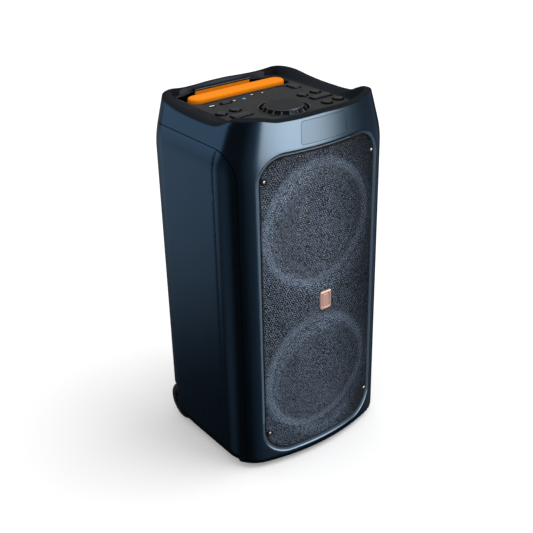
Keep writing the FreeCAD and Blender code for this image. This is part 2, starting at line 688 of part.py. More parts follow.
def power_switch():
    """Rocker with a shallow V front, tipped to one end of its travel."""
    y, z, left = PIVOT_Y, INLET_Z, SWITCH_X - 8.4
    profile = [(y, z - 5), (y + 5.5, z - 5), (y + 4.2, z), (y + 5.5, z + 5), (y, z + 5), (y - 3, z)]
    wire = Part.makePolygon([Vector(left, py, pz) for py, pz in profile + profile[:1]])
    rocker = Part.Face(wire).extrude(Vector(16.8, 0, 0)).fuse(switch_pivot(0.0, 10.0))
    rocker.rotate(Vector(SWITCH_X, y, z), RIGHT, -ROCKER_TIP)
    return rocker


def bass_port():
    """Flared tube behind the rear panel."""
    mouth, bore = PORT_MOUTH_Y, PORT_R - PORT_WALL
    outline = [(PORT_R, 60), (PORT_R, mouth - 6), (PORT_R + 4, mouth), (PORT_R + 2, mouth),
               (bore, mouth - 9), (bore, 60)]
    return revolve_about_y(outline, PORT_Z)


def amplifier_board():
    """Board with cooling fins, held off the rear wall by four posts."""
    board = box(-90, 90, 118, 120, BOARD_LOW, BOARD_HIGH)
    middles = [FIN_PITCH * (i - (FIN_COUNT - 1) / 2) for i in range(FIN_COUNT)]
    fins = [box(x - 2, x + 2, 92, 118, BOARD_LOW + 7, BOARD_HIGH - 7) for x in middles]
    inside = body_form(WALL + LINER_GAP + LINER)
    posts = [rod(3, 60, Vector(x, 119, z), BACK).common(inside)
             for x in (-80, 80) for z in (BOARD_LOW + 7, BOARD_HIGH - 7)]
    return join([board] + fins + posts)


def battery_pack():
    return plan_block(BATTERY_HALF, 20, 85, 8, LINER_FLOOR, BATTERY_TOP)


NODES = {}


def keep(name, shape):
    NODES[name] = shape


def build():
    wall = outer_wall()
    keep("front_shell", front_shell(wall))
    keep("side_trims", side_trims(wall))
    left_panel = side_panel(wall)
    keep("side_panel_left", left_panel)
    keep("side_panel_right", other_side(left_panel))
    keep("rear_panel", rear_panel(wall))
    keep("cabinet", cabinet())
    keep("base_panel", base_panel())
    keep("baffle", baffle())
    keep("wheel_housings", wheel_housings())
    keep("top_deck", top_deck())
    keep("knob_ring", knob_ring())
    keep("volume_knob", volume_knob())
    keep("encoder", encoder())
    keep("control_board", control_board())
    for name, shape in button_parts().items():
        keep(name, shape)
    windows = lamps(0.0, DECK_Z - 6, DECK_Z + 0.4)
    keep("indicator_blue", windows.pop("lamp_blue"))
    keep("indicator_lights", group(list(windows.values())))
    keep("grille", grille())
    keep("grille_screws", grille_screws())
    keep("badge", badge())
    keep("nameplate", nameplate())
    keep("light_rings", light_rings())
    keep("woofer_baskets", woofer_baskets())
    keep("woofer_magnets", woofer_magnets())
    for place, z in DRIVER_Z.items():
        keep(place + "_surround", surround(z))
        keep(place + "_cone", speaker_cone(z))
        keep(place + "_dust_cap", dust_cap(z))
        keep(place + "_voice_coil", voice_coil(z))
    keep("handle_well", handle_well())
    keep("handle_outer_tubes", handle_outer_tubes())
    keep("handle_middle_tubes", handle_middle_tubes())
    keep("handle_inner_tubes", handle_inner_tubes())
    keep("handle_grip", handle_grip())
    keep("handle_release", handle_release())
    for part in ("tyre", "hub"):
        keep("left_" + part, wheel(part))
        keep("right_" + part, other_side(wheel(part)))
    keep("wheel_axles", wheel_axles())
    keep("feet", feet())
    keep("io_panel", io_panel())
    keep("audio_jacks", audio_jacks())
    keep("power_inlet", power_inlet())
    keep("power_switch", power_switch())
    keep("bass_port", bass_port())
    keep("amplifier_board", amplifier_board())
    keep("battery_pack", battery_pack())


def write():
    os.makedirs("parts", exist_ok=True)
    for name, shape in NODES.items():
        solids = shape.Solids
        result = solids[0] if len(solids) == 1 else Part.makeCompound(solids)
        result.exportStep("parts/" + name + ".step")
        size = result.BoundBox
        print("%-22s solids %d valid %s  x %.1f..%.1f  y %.1f..%.1f  z %.1f..%.1f" % (
            name, len(solids), result.isValid(), size.XMin, size.XMax, size.YMin, size.YMax,
            size.ZMin, size.ZMax))


build()
write()
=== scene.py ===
import json
import math

import bmesh
import bpy
import numpy as np
from mathutils import Matrix, Vector
from mathutils.geometry import delaunay_2d_cdt
from mathutils.kdtree import KDTree


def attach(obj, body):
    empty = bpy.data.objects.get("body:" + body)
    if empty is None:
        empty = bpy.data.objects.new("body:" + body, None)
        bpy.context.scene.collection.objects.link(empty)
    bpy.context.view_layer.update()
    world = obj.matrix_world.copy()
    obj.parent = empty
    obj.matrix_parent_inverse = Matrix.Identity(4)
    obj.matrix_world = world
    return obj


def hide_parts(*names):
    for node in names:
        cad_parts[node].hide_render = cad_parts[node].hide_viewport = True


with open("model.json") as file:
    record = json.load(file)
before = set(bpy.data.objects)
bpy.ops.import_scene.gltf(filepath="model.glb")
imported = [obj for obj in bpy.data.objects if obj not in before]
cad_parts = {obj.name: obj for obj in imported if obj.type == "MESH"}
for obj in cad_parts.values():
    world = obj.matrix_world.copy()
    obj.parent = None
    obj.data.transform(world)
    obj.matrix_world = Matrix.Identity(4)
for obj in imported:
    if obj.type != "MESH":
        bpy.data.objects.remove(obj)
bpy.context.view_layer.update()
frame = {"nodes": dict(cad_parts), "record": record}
ROOT = "cabinet_body"

# Lengths are millimetres in the CAD frame, and become metres in add_piece. The ones inside materials,
# the studio and the camera are metres.

# ---- the outer form, as in the CAD source -------------------------------
BOW = 437.0
HALF_WIDTH, HALF_DEPTH, CORNER = 177.0, 166.0, 65.0
CREASE, CAP_TOP = 615.0, 705.0
CREASE_BLEND = 22.0
# How much the cap draws in by its top: at each side, the front, the rear, and in the corner radius.
LEAN_SIDE, LEAN_FRONT, LEAN_REAR, LEAN_CORNER = 31, 13, 8, 17
ACROSS = HALF_WIDTH - CORNER
REACH = math.sqrt((BOW - CORNER) ** 2 - ACROSS ** 2)
BOW_ANGLE = math.atan2(ACROSS, REACH)
CORNER_Y = -(HALF_DEPTH - BOW) - REACH
BOW_LEN = BOW * BOW_ANGLE
CORNER_LEN = CORNER * (math.pi / 2 - BOW_ANGLE)
SIDE_LEN = -2 * CORNER_Y
HALF_GIRTH = 2 * BOW_LEN + 2 * CORNER_LEN + SIDE_LEN


def lean(z):
    """How far up the leaning cap z is, with the crease slightly rounded."""
    x = z - CREASE
    w = CREASE_BLEND
    blended = (x + w) ** 2 / (4 * w)
    return np.where(x <= -w, 0.0, np.where(x >= w, x, blended)) / (CAP_TOP - CREASE)


def body(s, z, inset):
    """Points on the body: s is the girth from the front's middle, positive to the right."""
    s, z, inset = np.broadcast_arrays(np.asarray(s, float), np.asarray(z, float), np.asarray(inset, float))
    s = (s + HALF_GIRTH) % (2 * HALF_GIRTH) - HALF_GIRTH
    t = lean(z)
    half = HALF_WIDTH - LEAN_SIDE * t - inset
    front = HALF_DEPTH - LEAN_FRONT * t - inset
    rear = HALF_DEPTH - LEAN_REAR * t - inset
    corner = CORNER - LEAN_CORNER * t - inset
    across = half - corner
    reach = np.sqrt((BOW - corner) ** 2 - across ** 2)
    bow_angle = np.arctan2(across, reach)
    front_y = BOW - front - reach
    rear_y = rear - BOW + reach
    a = np.abs(s)
    ends = np.cumsum([BOW_LEN, CORNER_LEN, SIDE_LEN, CORNER_LEN, BOW_LEN])
    phi = a / BOW_LEN * bow_angle
    theta = bow_angle + (a - ends[0]) / CORNER_LEN * (math.pi / 2 - bow_angle)
    theta_r = math.pi / 2 - (a - ends[2]) / CORNER_LEN * (math.pi / 2 - bow_angle)
    phi_r = (ends[4] - a) / BOW_LEN * bow_angle
    where = [a <= ends[0], a <= ends[1], a <= ends[2], a <= ends[3]]
    x = np.select(where, [BOW * np.sin(phi), across + corner * np.sin(theta), half,
                          across + corner * np.sin(theta_r)], BOW * np.sin(phi_r))
    y = np.select(where, [BOW - front - BOW * np.cos(phi), front_y - corner * np.cos(theta),
                          front_y + (a - ends[1]) / SIDE_LEN * (rear_y - front_y),
                          rear_y + corner * np.cos(theta_r)], rear - BOW + BOW * np.cos(phi_r))
    return np.stack([np.where(s < 0, -x, x), y, z], -1)


def girth_at(y):
    """Girth position of depth y on the right side or its corners."""
    if y < CORNER_Y:
        return BOW_LEN + CORNER * (math.acos(min(1.0, (CORNER_Y - y) / CORNER)) - BOW_ANGLE)
    if y <= -CORNER_Y:
        return BOW_LEN + CORNER_LEN + y - CORNER_Y
    angle = math.acos(min(1.0, (y + CORNER_Y) / CORNER))
    return BOW_LEN + CORNER_LEN + SIDE_LEN + CORNER * (math.pi / 2 - angle)


def bow_girth(x):
    return BOW * math.asin(x / BOW)


def bowed(flat_loop):
    """Outline drawn in x and z, as girth and z on the bowed front."""
    return np.array([(bow_girth(x), z) for x, z in flat_loop])


def curve(knots, x):
    """Smooth curve through (position, value) knots."""
    kx, kv = np.array(knots, float).T
    x = np.clip(x, kx[0], kx[-1])
    slope = np.gradient(kv, kx)
    i = np.clip(np.searchsorted(kx, x) - 1, 0, len(kx) - 2)
    h = kx[i + 1] - kx[i]
    t = (x - kx[i]) / h
    return ((2 * t ** 3 - 3 * t ** 2 + 1) * kv[i] + (t ** 3 - 2 * t ** 2 + t) * h * slope[i]
            + (3 * t ** 2 - 2 * t ** 3) * kv[i + 1] + (t ** 3 - t ** 2) * h * slope[i + 1])


SIDE_EDGE = [(-190, 693), (-125, 693), (-103, 690.5), (-87, 685), (-73, 678), (-58, 673.5), (-40, 671.8),
             (0, 671), (55, 673), (90, 677), (115, 681.5), (140, 684.5), (190, 684.5)]
FRONT_EDGE = [(0, 687), (75, 685.8), (94, 686.5), (108, 689.5), (123, 693), (140, 694.5), (190, 702)]
REAR_EDGE = [(0, 677.5), (100, 680), (125, 685), (190, 694)]


EDGE_MIDDLE = 682.0
OUT_OF_PLAY = 800.0


def edge_height(s):
    """Height of the painted shell's upper edge round the body."""
    p = body(s, np.full(np.shape(s), EDGE_MIDDLE), 0.0)
    x, y = np.abs(p[..., 0]), p[..., 1]
    side = curve(SIDE_EDGE, y)
    front = np.where(y < -60, curve(FRONT_EDGE, x), OUT_OF_PLAY)
    rear = np.where(y > 100, curve(REAR_EDGE, x), OUT_OF_PLAY)
    other = np.minimum(front, rear)
    soft = 1.2
    return np.minimum(side, other) - soft * np.exp(-np.abs(side - other) / (2 * soft))


# ---- mesh helpers --------------------------------------------------------
def round_rect(u0, u1, v0, v1, radii, step=4.0, place=None):
    """Counter-clockwise rounded rectangle; radii are for low-low, high-low, high-high, low-high."""
    corners = [(u0, v0, 180), (u1, v0, 270), (u1, v1, 0), (u0, v1, 90)]
    signs = [(1, 1), (-1, 1), (-1, -1), (1, -1)]
    anchors = []
    for (u, v, start), (du, dv), r in zip(corners, signs, radii):
        r = max(r, 0.05)
        n = max(3, int(math.ceil(r * math.pi / 2 / min(step, max(r / 5, 0.3)))))
        for k in range(n + 1):
            a = math.radians(start + 90 * k / n)
            anchors.append((u + du * r + r * math.cos(a), v + dv * r + r * math.sin(a)))
    points = fill_gaps(anchors, step)
    return points if place is None else np.array([place(u, v) for u, v in points])


def fill_gaps(anchors, step, closed=True):
    """Adds points on the long straight runs of a path."""
    out = []
    count = len(anchors) if closed else len(anchors) - 1
    for i in range(count):
        a, b = np.array(anchors[i], float), np.array(anchors[(i + 1) % len(anchors)], float)
        gap = np.linalg.norm(b - a)
        if gap < 1e-6:
            continue
        n = max(1, int(round(gap / step)))
        out += [a + (b - a) * k / n for k in range(n)]
    if not closed:
        out.append(np.array(anchors[-1], float))
    return np.array(out)


def circle(u, v, r, n=64):
    a = np.arange(n) * 2 * math.pi / n
    return np.stack([u + r * np.cos(a), v + r * np.sin(a)], -1)


def counter_clockwise(loop):
    x, y = loop.T
    return np.sum(x * np.roll(y, -1) - np.roll(x, -1) * y) > 0


def shifted(loop, distance):
    """Loop moved to its left, which is into the material."""
    along = np.roll(loop, -1, 0) - np.roll(loop, 1, 0)
    size = np.linalg.norm(along, axis=1, keepdims=True)
    return loop + distance * np.stack([-along[:, 1], along[:, 0]], -1) / np.maximum(size, 1e-9)


def inside(points, loops):
    """Even-odd test of points against all loops."""
    hit = np.zeros(len(points), bool)
    for loop in loops:
        a, b = loop, np.roll(loop, -1, 0)
        for (x0, y0), (x1, y1) in zip(a, b):
            if y0 == y1:
                continue
            cross = (points[:, 1] > y0) != (points[:, 1] > y1)
            hit ^= cross & (points[:, 0] < x0 + (points[:, 1] - y0) * (x1 - x0) / (y1 - y0))
    return hit


def triangulate(loops, step):
    """Points and triangles that fill the outer loop less its holes, with an even inner grid."""
    edge_points = np.vstack(loops)
    tree = KDTree(len(edge_points))
    for i, (u, v) in enumerate(edge_points):
        tree.insert((u, v, 0), i)
    tree.balance()
    low, high = edge_points.min(0), edge_points.max(0)
    rows = []
    for j, v in enumerate(np.arange(low[1] + step / 2, high[1], step * 0.866)):
        u = np.arange(low[0] + step / 2 * (1 + j % 2), high[0], step)
        rows.append(np.stack([u, np.full(len(u), v)], -1))
    grid = np.vstack(rows) if rows else np.zeros((0, 2))
    grid = grid[inside(grid, loops)] if len(grid) else grid
    grid = np.array([p for p in grid if tree.find((p[0], p[1], 0))[2] > 0.55 * step]).reshape(-1, 2)
    points = np.vstack([edge_points, grid])
    edges, start = [], 0
    for loop in loops:
        n = len(loop)
        edges += [(start + i, start + (i + 1) % n) for i in range(n)]
        start += n
    _, _, faces, source, _, _ = delaunay_2d_cdt([Vector(p) for p in points], edges, [], 0, 1e-6)
    tris = np.array([[source[i][0] if source[i] else -1 for i in f] for f in faces])
    tris = tris[(tris >= 0).all(1)]
    keep = inside(points[tris].mean(1), loops)
    return points, tris[keep]


def bevel(r, steps=3):
    return [(r - r * math.cos(math.pi / 2 * k / steps), r - r * math.sin(math.pi / 2 * k / steps))
            for k in range(steps + 1)]


def patch(loops, place, thick, step, rows=None, hole_rows=None):
    """Closed plate: outer loop, then holes. place(points, depth) puts it in space.
    rows are (distance in, depth) pairs that shape the outer edge; hole_rows shape the holes' edges."""
    rows = rows or bevel(0.55)
    hole_rows = hole_rows or rows
    loops = [loops[0] if counter_clockwise(loops[0]) else loops[0][::-1]] + [
        h[::-1] if counter_clockwise(h) else h for h in loops[1:]]
    verts, faces, inner = [], [], []
    count = 0
    rims = []
    for i, loop in enumerate(loops):
        profile = rows if i == 0 else (hole_rows[i - 1] if isinstance(hole_rows, dict) else hole_rows)
        n = len(loop)
        starts = []
        for distance, depth in profile:
            moved = shifted(loop, distance)
            verts.append(place(moved, np.full(n, float(depth))))
            starts.append(count)
            count += n
        inner.append(shifted(loop, profile[-1][0]))
        for a, b in zip(starts, starts[1:]):
            faces += [(a + k, a + (k + 1) % n, b + (k + 1) % n, b + k) for k in range(n)]
        rims.append((starts[0], starts[-1], n, loop))
    points, tris = triangulate(inner, step)
    grid_start = count
    total_edge = sum(len(l) for l in inner)
    grid = points[total_edge:]
    verts.append(place(grid, np.zeros(len(grid))))
    count += len(grid)
    index = np.concatenate([np.arange(r[1], r[1] + r[2]) for r in rims]
                           + [np.arange(grid_start, grid_start + len(grid))])
    faces += [tuple(index[t]) for t in tris]
    back = count
    verts.append(place(points, np.full(len(points), float(thick))))
    count += len(points)
    faces += [tuple(back + t[::-1]) for t in tris]
    offset = 0
    for first, _, n, loop in rims:
        verts.append(place(loop, np.full(n, float(thick))))
        faces += [(count + k, count + (k + 1) % n, first + (k + 1) % n, first + k) for k in range(n)]
        faces += [(back + offset + k, back + offset + (k + 1) % n, count + (k + 1) % n, count + k)
                  for k in range(n)]
        count += n
        offset += n
    return np.vstack(verts), faces


def joined(parts):
    """Several (points, faces) as one."""
    verts, faces, start = [], [], 0
    for points, some in parts:
        verts.append(points)
        faces += [tuple(start + i for i in f) for f in some]
        start += len(points)
    return np.vstack(verts), faces


def mirrored(part):
    points, faces = part
    return points * np.array([-1, 1, 1]), [tuple(f[::-1]) for f in faces]


def moved(part, x=0.0, y=0.0, z=0.0):
    return part[0] + np.array([x, y, z]), part[1]


def lathe(profile, centre, axis, turns=96, closed=True, ripple=None):
    """Turns (radius, height) points round an axis. ripple(angle, row) scales the radius."""
    axis = Vector(axis).normalized()
    side = axis.orthogonal().normalized()
    other = axis.cross(side)
    c = np.array(centre, float)
    verts, faces = [], []
    n = len(profile)
    for k in range(turns):
        a = 2 * math.pi * k / turns
        out = np.array(side) * math.cos(a) + np.array(other) * math.sin(a)
        for i, (r, h) in enumerate(profile):
            grow = ripple(a, i) if ripple else 1.0
            verts.append(c + out * r * grow + np.array(axis) * h)
    for k in range(turns):
        m = (k + 1) % turns
        for i in range(n if closed else n - 1):
            j = (i + 1) % n
            faces.append((k * n + i, m * n + i, m * n + j, k * n + j))
    return np.array(verts), faces


def add_piece(name, part, material, rides=ROOT, nodes=(), sharp=38.0, second=None,
              third=None):
    """Makes a mesh object. second and third are (material, test of a face's middle in millimetres)."""
    points, faces = part
    mesh = bpy.data.meshes.new(name)
    mesh.from_pydata((points * 0.001).tolist(), [], [list(map(int, f)) for f in faces])
    mesh.validate()
    piece = bpy.data.objects.new(name, mesh)
    bpy.context.scene.collection.objects.link(piece)
    weld(piece)
    mesh.materials.append(material)
    finish = np.zeros(len(mesh.polygons), np.int32)
    middles = np.array([list(f.center) for f in mesh.polygons]) * 1000
    for number, extra in enumerate([second, third], 1):
        if extra:
            mesh.materials.append(extra[0])
            finish[extra[1](middles)] = number
    mesh.polygons.foreach_set("material_index", finish)
    mesh.polygons.foreach_set("use_smooth", [True] * len(mesh.polygons))
    mesh.set_sharp_from_angle(angle=math.radians(sharp))
    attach(piece, rides)
    if nodes:
        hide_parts(*nodes)
    return piece


def weld(piece):
    """Merges points that coincide and turns every face outwards."""
    bm = bmesh.new()
    bm.from_mesh(piece.data)
    bmesh.ops.remove_doubles(bm, verts=bm.verts, dist=1e-6)
    bmesh.ops.dissolve_degenerate(bm, edges=bm.edges, dist=1e-7)
    bmesh.ops.holes_fill(bm, edges=[e for e in bm.edges if e.is_boundary], sides=5)
    bmesh.ops.recalc_face_normals(bm, faces=bm.faces)
    bm.to_mesh(piece.data)
    bm.free()


# ---- materials -----------------------------------------------------------
def add_node(tree, kind, values=None, links=None):
    """Shader node with constant socket values, and links from other nodes' outputs."""
    made = tree.nodes.new("ShaderNode" + kind)
    for key, value in (values or {}).items():
        made.inputs[key].default_value = value
    for key, source in (links or {}).items():
        tree.links.new(source, made.inputs[key])
    return made


def surface(name, colour, rough, metallic=0.0, grain=600.0, vary=0.08, bump=0.05, depth=0.0002,
            rough_vary=0.06, coat=0.0, specular=0.5, glow=None, spread_by=0.2):
    """Principled material whose colour, roughness and relief vary with fine noise."""
    mat = bpy.data.materials.new(name)
    mat.use_nodes = True
    tree = mat.node_tree
    shader = tree.nodes["Principled BSDF"]
    constants = {"Metallic": metallic, "Specular IOR Level": specular, "Coat Weight": coat,
                 "Coat Roughness": 0.12}
    if glow:
        constants.update({"Emission Color": list(glow[0]) + [1], "Emission Strength": glow[1]})
    for key, value in constants.items():
        shader.inputs[key].default_value = value
    where = add_node(tree, "TexCoord").outputs["Object"]
    noises = [add_node(tree, "TexNoise", {"Scale": scale, "Detail": detail}, {"Vector": where})
              for scale, detail in ((grain, 3.0), (14.0, 2.0))]
    fine, broad = [noise.outputs["Fac"] for noise in noises]
    ramp = add_node(tree, "ValToRGB", links={"Fac": fine})
    for element, sign in zip(ramp.color_ramp.elements, (-1, 1)):
        element.position = 0.5 + sign * spread_by
        element.color = [min(1.0, c * (1 + sign * vary)) for c in colour] + [1]
    rough_range = {"From Min": 0.3, "From Max": 0.7, "To Min": max(0.02, rough - rough_vary),
                   "To Max": min(1.0, rough + rough_vary)}
    spread = add_node(tree, "MapRange", rough_range, {"Value": broad})
    tree.links.new(ramp.outputs["Color"], shader.inputs["Base Color"])
    tree.links.new(spread.outputs["Result"], shader.inputs["Roughness"])
    if bump:
        relief = add_node(tree, "Bump", {"Strength": bump, "Distance": depth}, {"Height": fine})
        tree.links.new(relief.outputs["Normal"], shader.inputs["Normal"])
    return mat


PAINTED = dict(grain=1400, vary=0.05, bump=0.02, depth=0.0001)
MOULDED = dict(grain=2200, vary=0.1, bump=0.05, depth=0.0001)
PAINT = surface("navy_paint", (0.066, 0.118, 0.178), 0.29, metallic=1.0, rough_vary=0.015, coat=0.5,
                **PAINTED)
# Lighter lip round the grille's opening: a painted highlight.
LIP_PAINTED_HIGHLIGHT = surface("navy_lip_painted_highlight", (0.095, 0.155, 0.225), 0.42, metallic=0.3, rough_vary=0.015, coat=0.5,
                    **PAINTED)
# Darker lip at the bottom and right of the grille's opening: painted shade.
LIP_PAINTED_SHADE = surface("navy_lip_painted_shade", (0.04, 0.066, 0.098), 0.5, specular=0.2, **PAINTED)
PLATE = surface("nameplate_gloss", (0.056, 0.1, 0.15), 0.3, metallic=1.0, coat=0.4, grain=1400, vary=0.03,
                bump=0.01, rough_vary=0.02)
DECK = surface("deck_charcoal", (0.034, 0.0365, 0.0365), 0.55, grain=2200, vary=0.12, bump=0.12, depth=0.0002,
               specular=0.35)
# Lighter wall behind the handle: painted light where that wall catches light.
REAR_WALL_PAINTED_LIGHT = surface("inner_wall_painted_light", (0.06, 0.083, 0.105), 0.5, specular=0.15, **MOULDED)
RIM = surface("rim_black", (0.010, 0.0135, 0.018), 0.5, specular=0.12, **MOULDED)
BLACK = surface("satin_black", (0.006, 0.0065, 0.0075), 0.4, grain=1800, vary=0.1, bump=0.04, specular=0.2)
# Near-black and barely reflective, for the handle well. On the deck's groove strips it is painted shade.
WELL_BLACK = surface("well_black", (0.002, 0.002, 0.0025), 0.6, grain=900, vary=0.1, bump=0.05, specular=0.02)
GLOSS = surface("gloss_black", (0.006, 0.007, 0.009), 0.18, grain=900, vary=0.05, bump=0.01, specular=0.3)
ORANGE = surface("orange_grip", (1.0, 0.27, 0.004), 0.45, specular=0.08, grain=2000, vary=0.04, bump=0.05,
                 depth=0.0001)
MESH = surface("grille_steel", (0.102, 0.142, 0.2), 0.5, metallic=0.8, grain=500, vary=0.92, bump=0.5,
               depth=0.001, spread_by=0.095)
RING = surface("ring_diffuser", (0.36, 0.47, 0.62), 0.5, grain=300, vary=0.05, bump=0.0,
               glow=((0.5, 0.64, 0.85), 0.03))
# Darker flanks of the light rings: painted shade across their rounded profile.
RING_FLANK_PAINTED_SHADE = surface("ring_flank_painted_shade", (0.16, 0.21, 0.28), 0.5, grain=300, vary=0.05, bump=0.0)
CONE = surface("cone_fibre", (0.05, 0.053, 0.06), 0.42, grain=500, vary=0.35, bump=0.2, depth=0.0003)
CAP = surface("dust_cap_gloss", (0.05, 0.055, 0.065), 0.25, grain=300, vary=0.1, bump=0.02)
ROLL = surface("surround_roll", (0.1, 0.11, 0.125), 0.35, grain=500, vary=0.1, bump=0.03)
RUBBER = surface("rubber_black", (0.012, 0.012, 0.013), 0.62, grain=900, vary=0.15, bump=0.12)
TYRE = surface("tyre_rubber", (0.014, 0.014, 0.016), 0.55, grain=700, vary=0.2, bump=0.2, depth=0.0004)
LINER = surface("liner_black", (0.012, 0.013, 0.014), 0.6, grain=700, vary=0.15, bump=0.1)
STEEL = surface("brushed_steel", (0.52, 0.53, 0.55), 0.28, metallic=1.0, grain=900, vary=0.08, bump=0.05)
# Lighter grey on the knob's ribs and rims and on the hood's front edge: a painted highlight.
PAINTED_EDGE_HIGHLIGHT = surface("rib_painted_highlight", (0.10, 0.105, 0.11), 0.3, metallic=0.3, grain=1800, vary=0.08, bump=0.03)
KEY_TOP = surface("key_charcoal", (0.045, 0.048, 0.049), 0.5, grain=2200, vary=0.12, bump=0.1, specular=0.35)
ROSE = surface("rose_metal", (0.66, 0.43, 0.37), 0.34, metallic=0.5, grain=1600, vary=0.04, bump=0.02)
CAST = surface("cast_basket", (0.09, 0.09, 0.095), 0.5, metallic=0.8, grain=500, vary=0.15, bump=0.15)
COPPER = surface("wound_copper", (0.6, 0.3, 0.16), 0.35, metallic=1.0, grain=1800, vary=0.2, bump=0.2)
BOARD = surface("circuit_board", (0.02, 0.09, 0.045), 0.4, grain=400, vary=0.3, bump=0.05)
BLUE = surface("blue_lamp", (0.08, 0.34, 0.5), 0.3, grain=600, vary=0.05, bump=0.0,
               glow=((0.1, 0.4, 0.55), 0.15))
WHITE = surface("white_lamp", (0.5, 0.54, 0.58), 0.3, grain=600, vary=0.03, bump=0.0,
                glow=((0.8, 0.9, 1.0), 0.15))
BATTERY = surface("battery_wrap", (0.02, 0.04, 0.12), 0.35, grain=500, vary=0.1, bump=0.02)

RING_RADIUS, RING_HEIGHTS = 114.0, (479.0, 168.0)
# Painted light and shade on the grille's colour: a painted glow over each light ring that fades out over the
# given reach, and painted shade towards the right and towards the top.
PAINTED_HALO, PAINTED_HALO_REACH = 0.5, 0.022  # added at the ring, and metres to where it ends
PAINTED_RIGHT_SHADE = (0.0, 0.125, 1.0, 0.36)  # metres from and to, factor from and to
PAINTED_TOP_SHADE = (0.54, 0.63, 1.0, 0.6)


def between(tree, value, start, end, low, high):
    """Node output that goes smoothly from low at start to high at end."""
    node = add_node(tree, "MapRange", {"From Min": start, "From Max": end, "To Min": low, "To Max": high},
                    {"Value": value})
    node.interpolation_type = "SMOOTHSTEP"
    return node.outputs["Result"]


def combine(tree, operation, a, b):
    """Node output of an arithmetic operation on two outputs, or on an output and a number."""
    pair = {0: a, 1: b}
    node = add_node(tree, "Math", {k: v for k, v in pair.items() if isinstance(v, float)},
                    {k: v for k, v in pair.items() if not isinstance(v, float)})
    node.operation = operation
    return node.outputs["Value"]


def paint_light_and_shade_on_grille(mat):
    """Paints light and shade into the grille's colour: a painted glow over the light rings, and painted shade
    towards the right and the top.
    """
    tree = mat.node_tree
    shader = tree.nodes["Principled BSDF"]
    where = add_node(tree, "TexCoord").outputs["Object"]
    split = add_node(tree, "SeparateXYZ", links={"Vector": where})
    x, z = split.outputs["X"], split.outputs["Z"]
    glow = []
    for height in RING_HEIGHTS:
        up = combine(tree, "SUBTRACT", z, height * 0.001)
        squares = combine(tree, "ADD", combine(tree, "MULTIPLY", x, x), combine(tree, "MULTIPLY", up, up))
        off = combine(tree, "SUBTRACT", combine(tree, "POWER", squares, 0.5), RING_RADIUS * 0.001)
        glow.append(between(tree, combine(tree, "ABSOLUTE", off, 0.0), 0.0, PAINTED_HALO_REACH, PAINTED_HALO, 0.0))
    painted_halo = combine(tree, "ADD", combine(tree, "ADD", glow[0], glow[1]), 1.0)
    painted_shade = combine(tree, "MULTIPLY", between(tree, x, *PAINTED_RIGHT_SHADE), between(tree, z, *PAINTED_TOP_SHADE))
    scale = add_node(tree, "VectorMath")
    scale.operation = "SCALE"
    tree.links.new(tree.nodes["Color Ramp"].outputs["Color"], scale.inputs[0])
    tree.links.new(combine(tree, "MULTIPLY", painted_halo, painted_shade), scale.inputs["Scale"])
    tree.links.new(scale.outputs["Vector"], shader.inputs["Base Color"])


paint_light_and_shade_on_grille(MESH)

SLOT_MATERIALS = {"shell": PAINT, "nameplate": PLATE, "deck": DECK, "black_plastic": BLACK, "button": DECK,
                  "blue_light": BLUE, "white_light": WHITE, "liner": LINER, "steel": STEEL, "grille": MESH,
                  "badge": ROSE, "diffuser": RING, "basket": CAST, "magnet": CAST, "rubber": RUBBER,
                  "cone": CONE, "coil": COPPER, "orange": ORANGE, "tyre": TYRE, "hub": BLACK,
                  "battery": BATTERY}
for row in frame["record"]["subparts"]:
    node = frame["nodes"][row["node"]]
    finish = SLOT_MATERIALS[row["material_slot"]]
    if row["node"] == "handle_well":
        finish = WELL_BLACK
    if row["node"] in ("control_board", "amplifier_board"):
        finish = BOARD
    if "dust_cap" in row["node"]:
        finish = CAP
    if "surround" in row["node"]:
        finish = ROLL
    data = node.data
    data.materials.clear()
    data.materials.append(finish)
    data.polygons.foreach_set("material_index", [0] * len(data.polygons))
    data.polygons.foreach_set("use_smooth", [True] * len(data.polygons))
    data.set_sharp_from_angle(angle=math.radians(32))


# ---- painted shells ------------------------------------------------------
def on_body(low=None, low_round=0.0):
    """Maker of a place function: girth and height to space, rounded under at the lower edge."""
    def place(points, depth):
        s, z = points[:, 0], points[:, 1]
        under = np.zeros(len(z))
        if low is not None:
            t = np.clip((low + low_round - z) / low_round, 0, 1)
            under = low_round * (1 - np.sqrt(1 - t ** 2))
        return body(s, z, depth + under)
    return place


SEAM = 0.4
SHELL = 3.6
PANEL_LOW, CHIN_LOW = 17.0, 9.0
SEAM_Z = 641.0
WINDOW_Z = 82.0  # top of the opening that each wheel shows through
SEAM_FRONT, TRIM_SEAM, SEAM_REAR, CHIN_END = -126.0, -78.0, 128.0, -104.0
# (distance in from the opening, depth below the skin) across the edge round the grille.
LIP = [(0.0, 9.0), (0.0, 4.6), (0.5, 3.9), (1.5, 3.0), (3.6, 1.3), (4.6, 0.6), (5.6, 0.15), (6.6, 0.0)]


def arc_path(u, v, r, start, end, n=12):
    return [(u + r * math.cos(math.radians(start + (end - start) * k / n)),
             v + r * math.sin(math.radians(start + (end - start) * k / n))) for k in range(n + 1)]


def to_girth(path):
    return [(girth_at(y), z) for y, z in path]


def grille_opening(grow):
    return round_rect(-131 - grow, 131 + grow, 30 - grow, 630 + grow, [52 + grow] * 2 + [45 + grow] * 2)


def plate_outline(grow):
    return bowed(round_rect(-54 - grow, 54 + grow, 642 - grow, 681 + grow, [5 + grow] * 4, 3.0))


CHAMFER = [(0, 0.3), (0.3, 0)]
PLATE_CHAMFER = [(0, 0.2), (0.2, 0)]


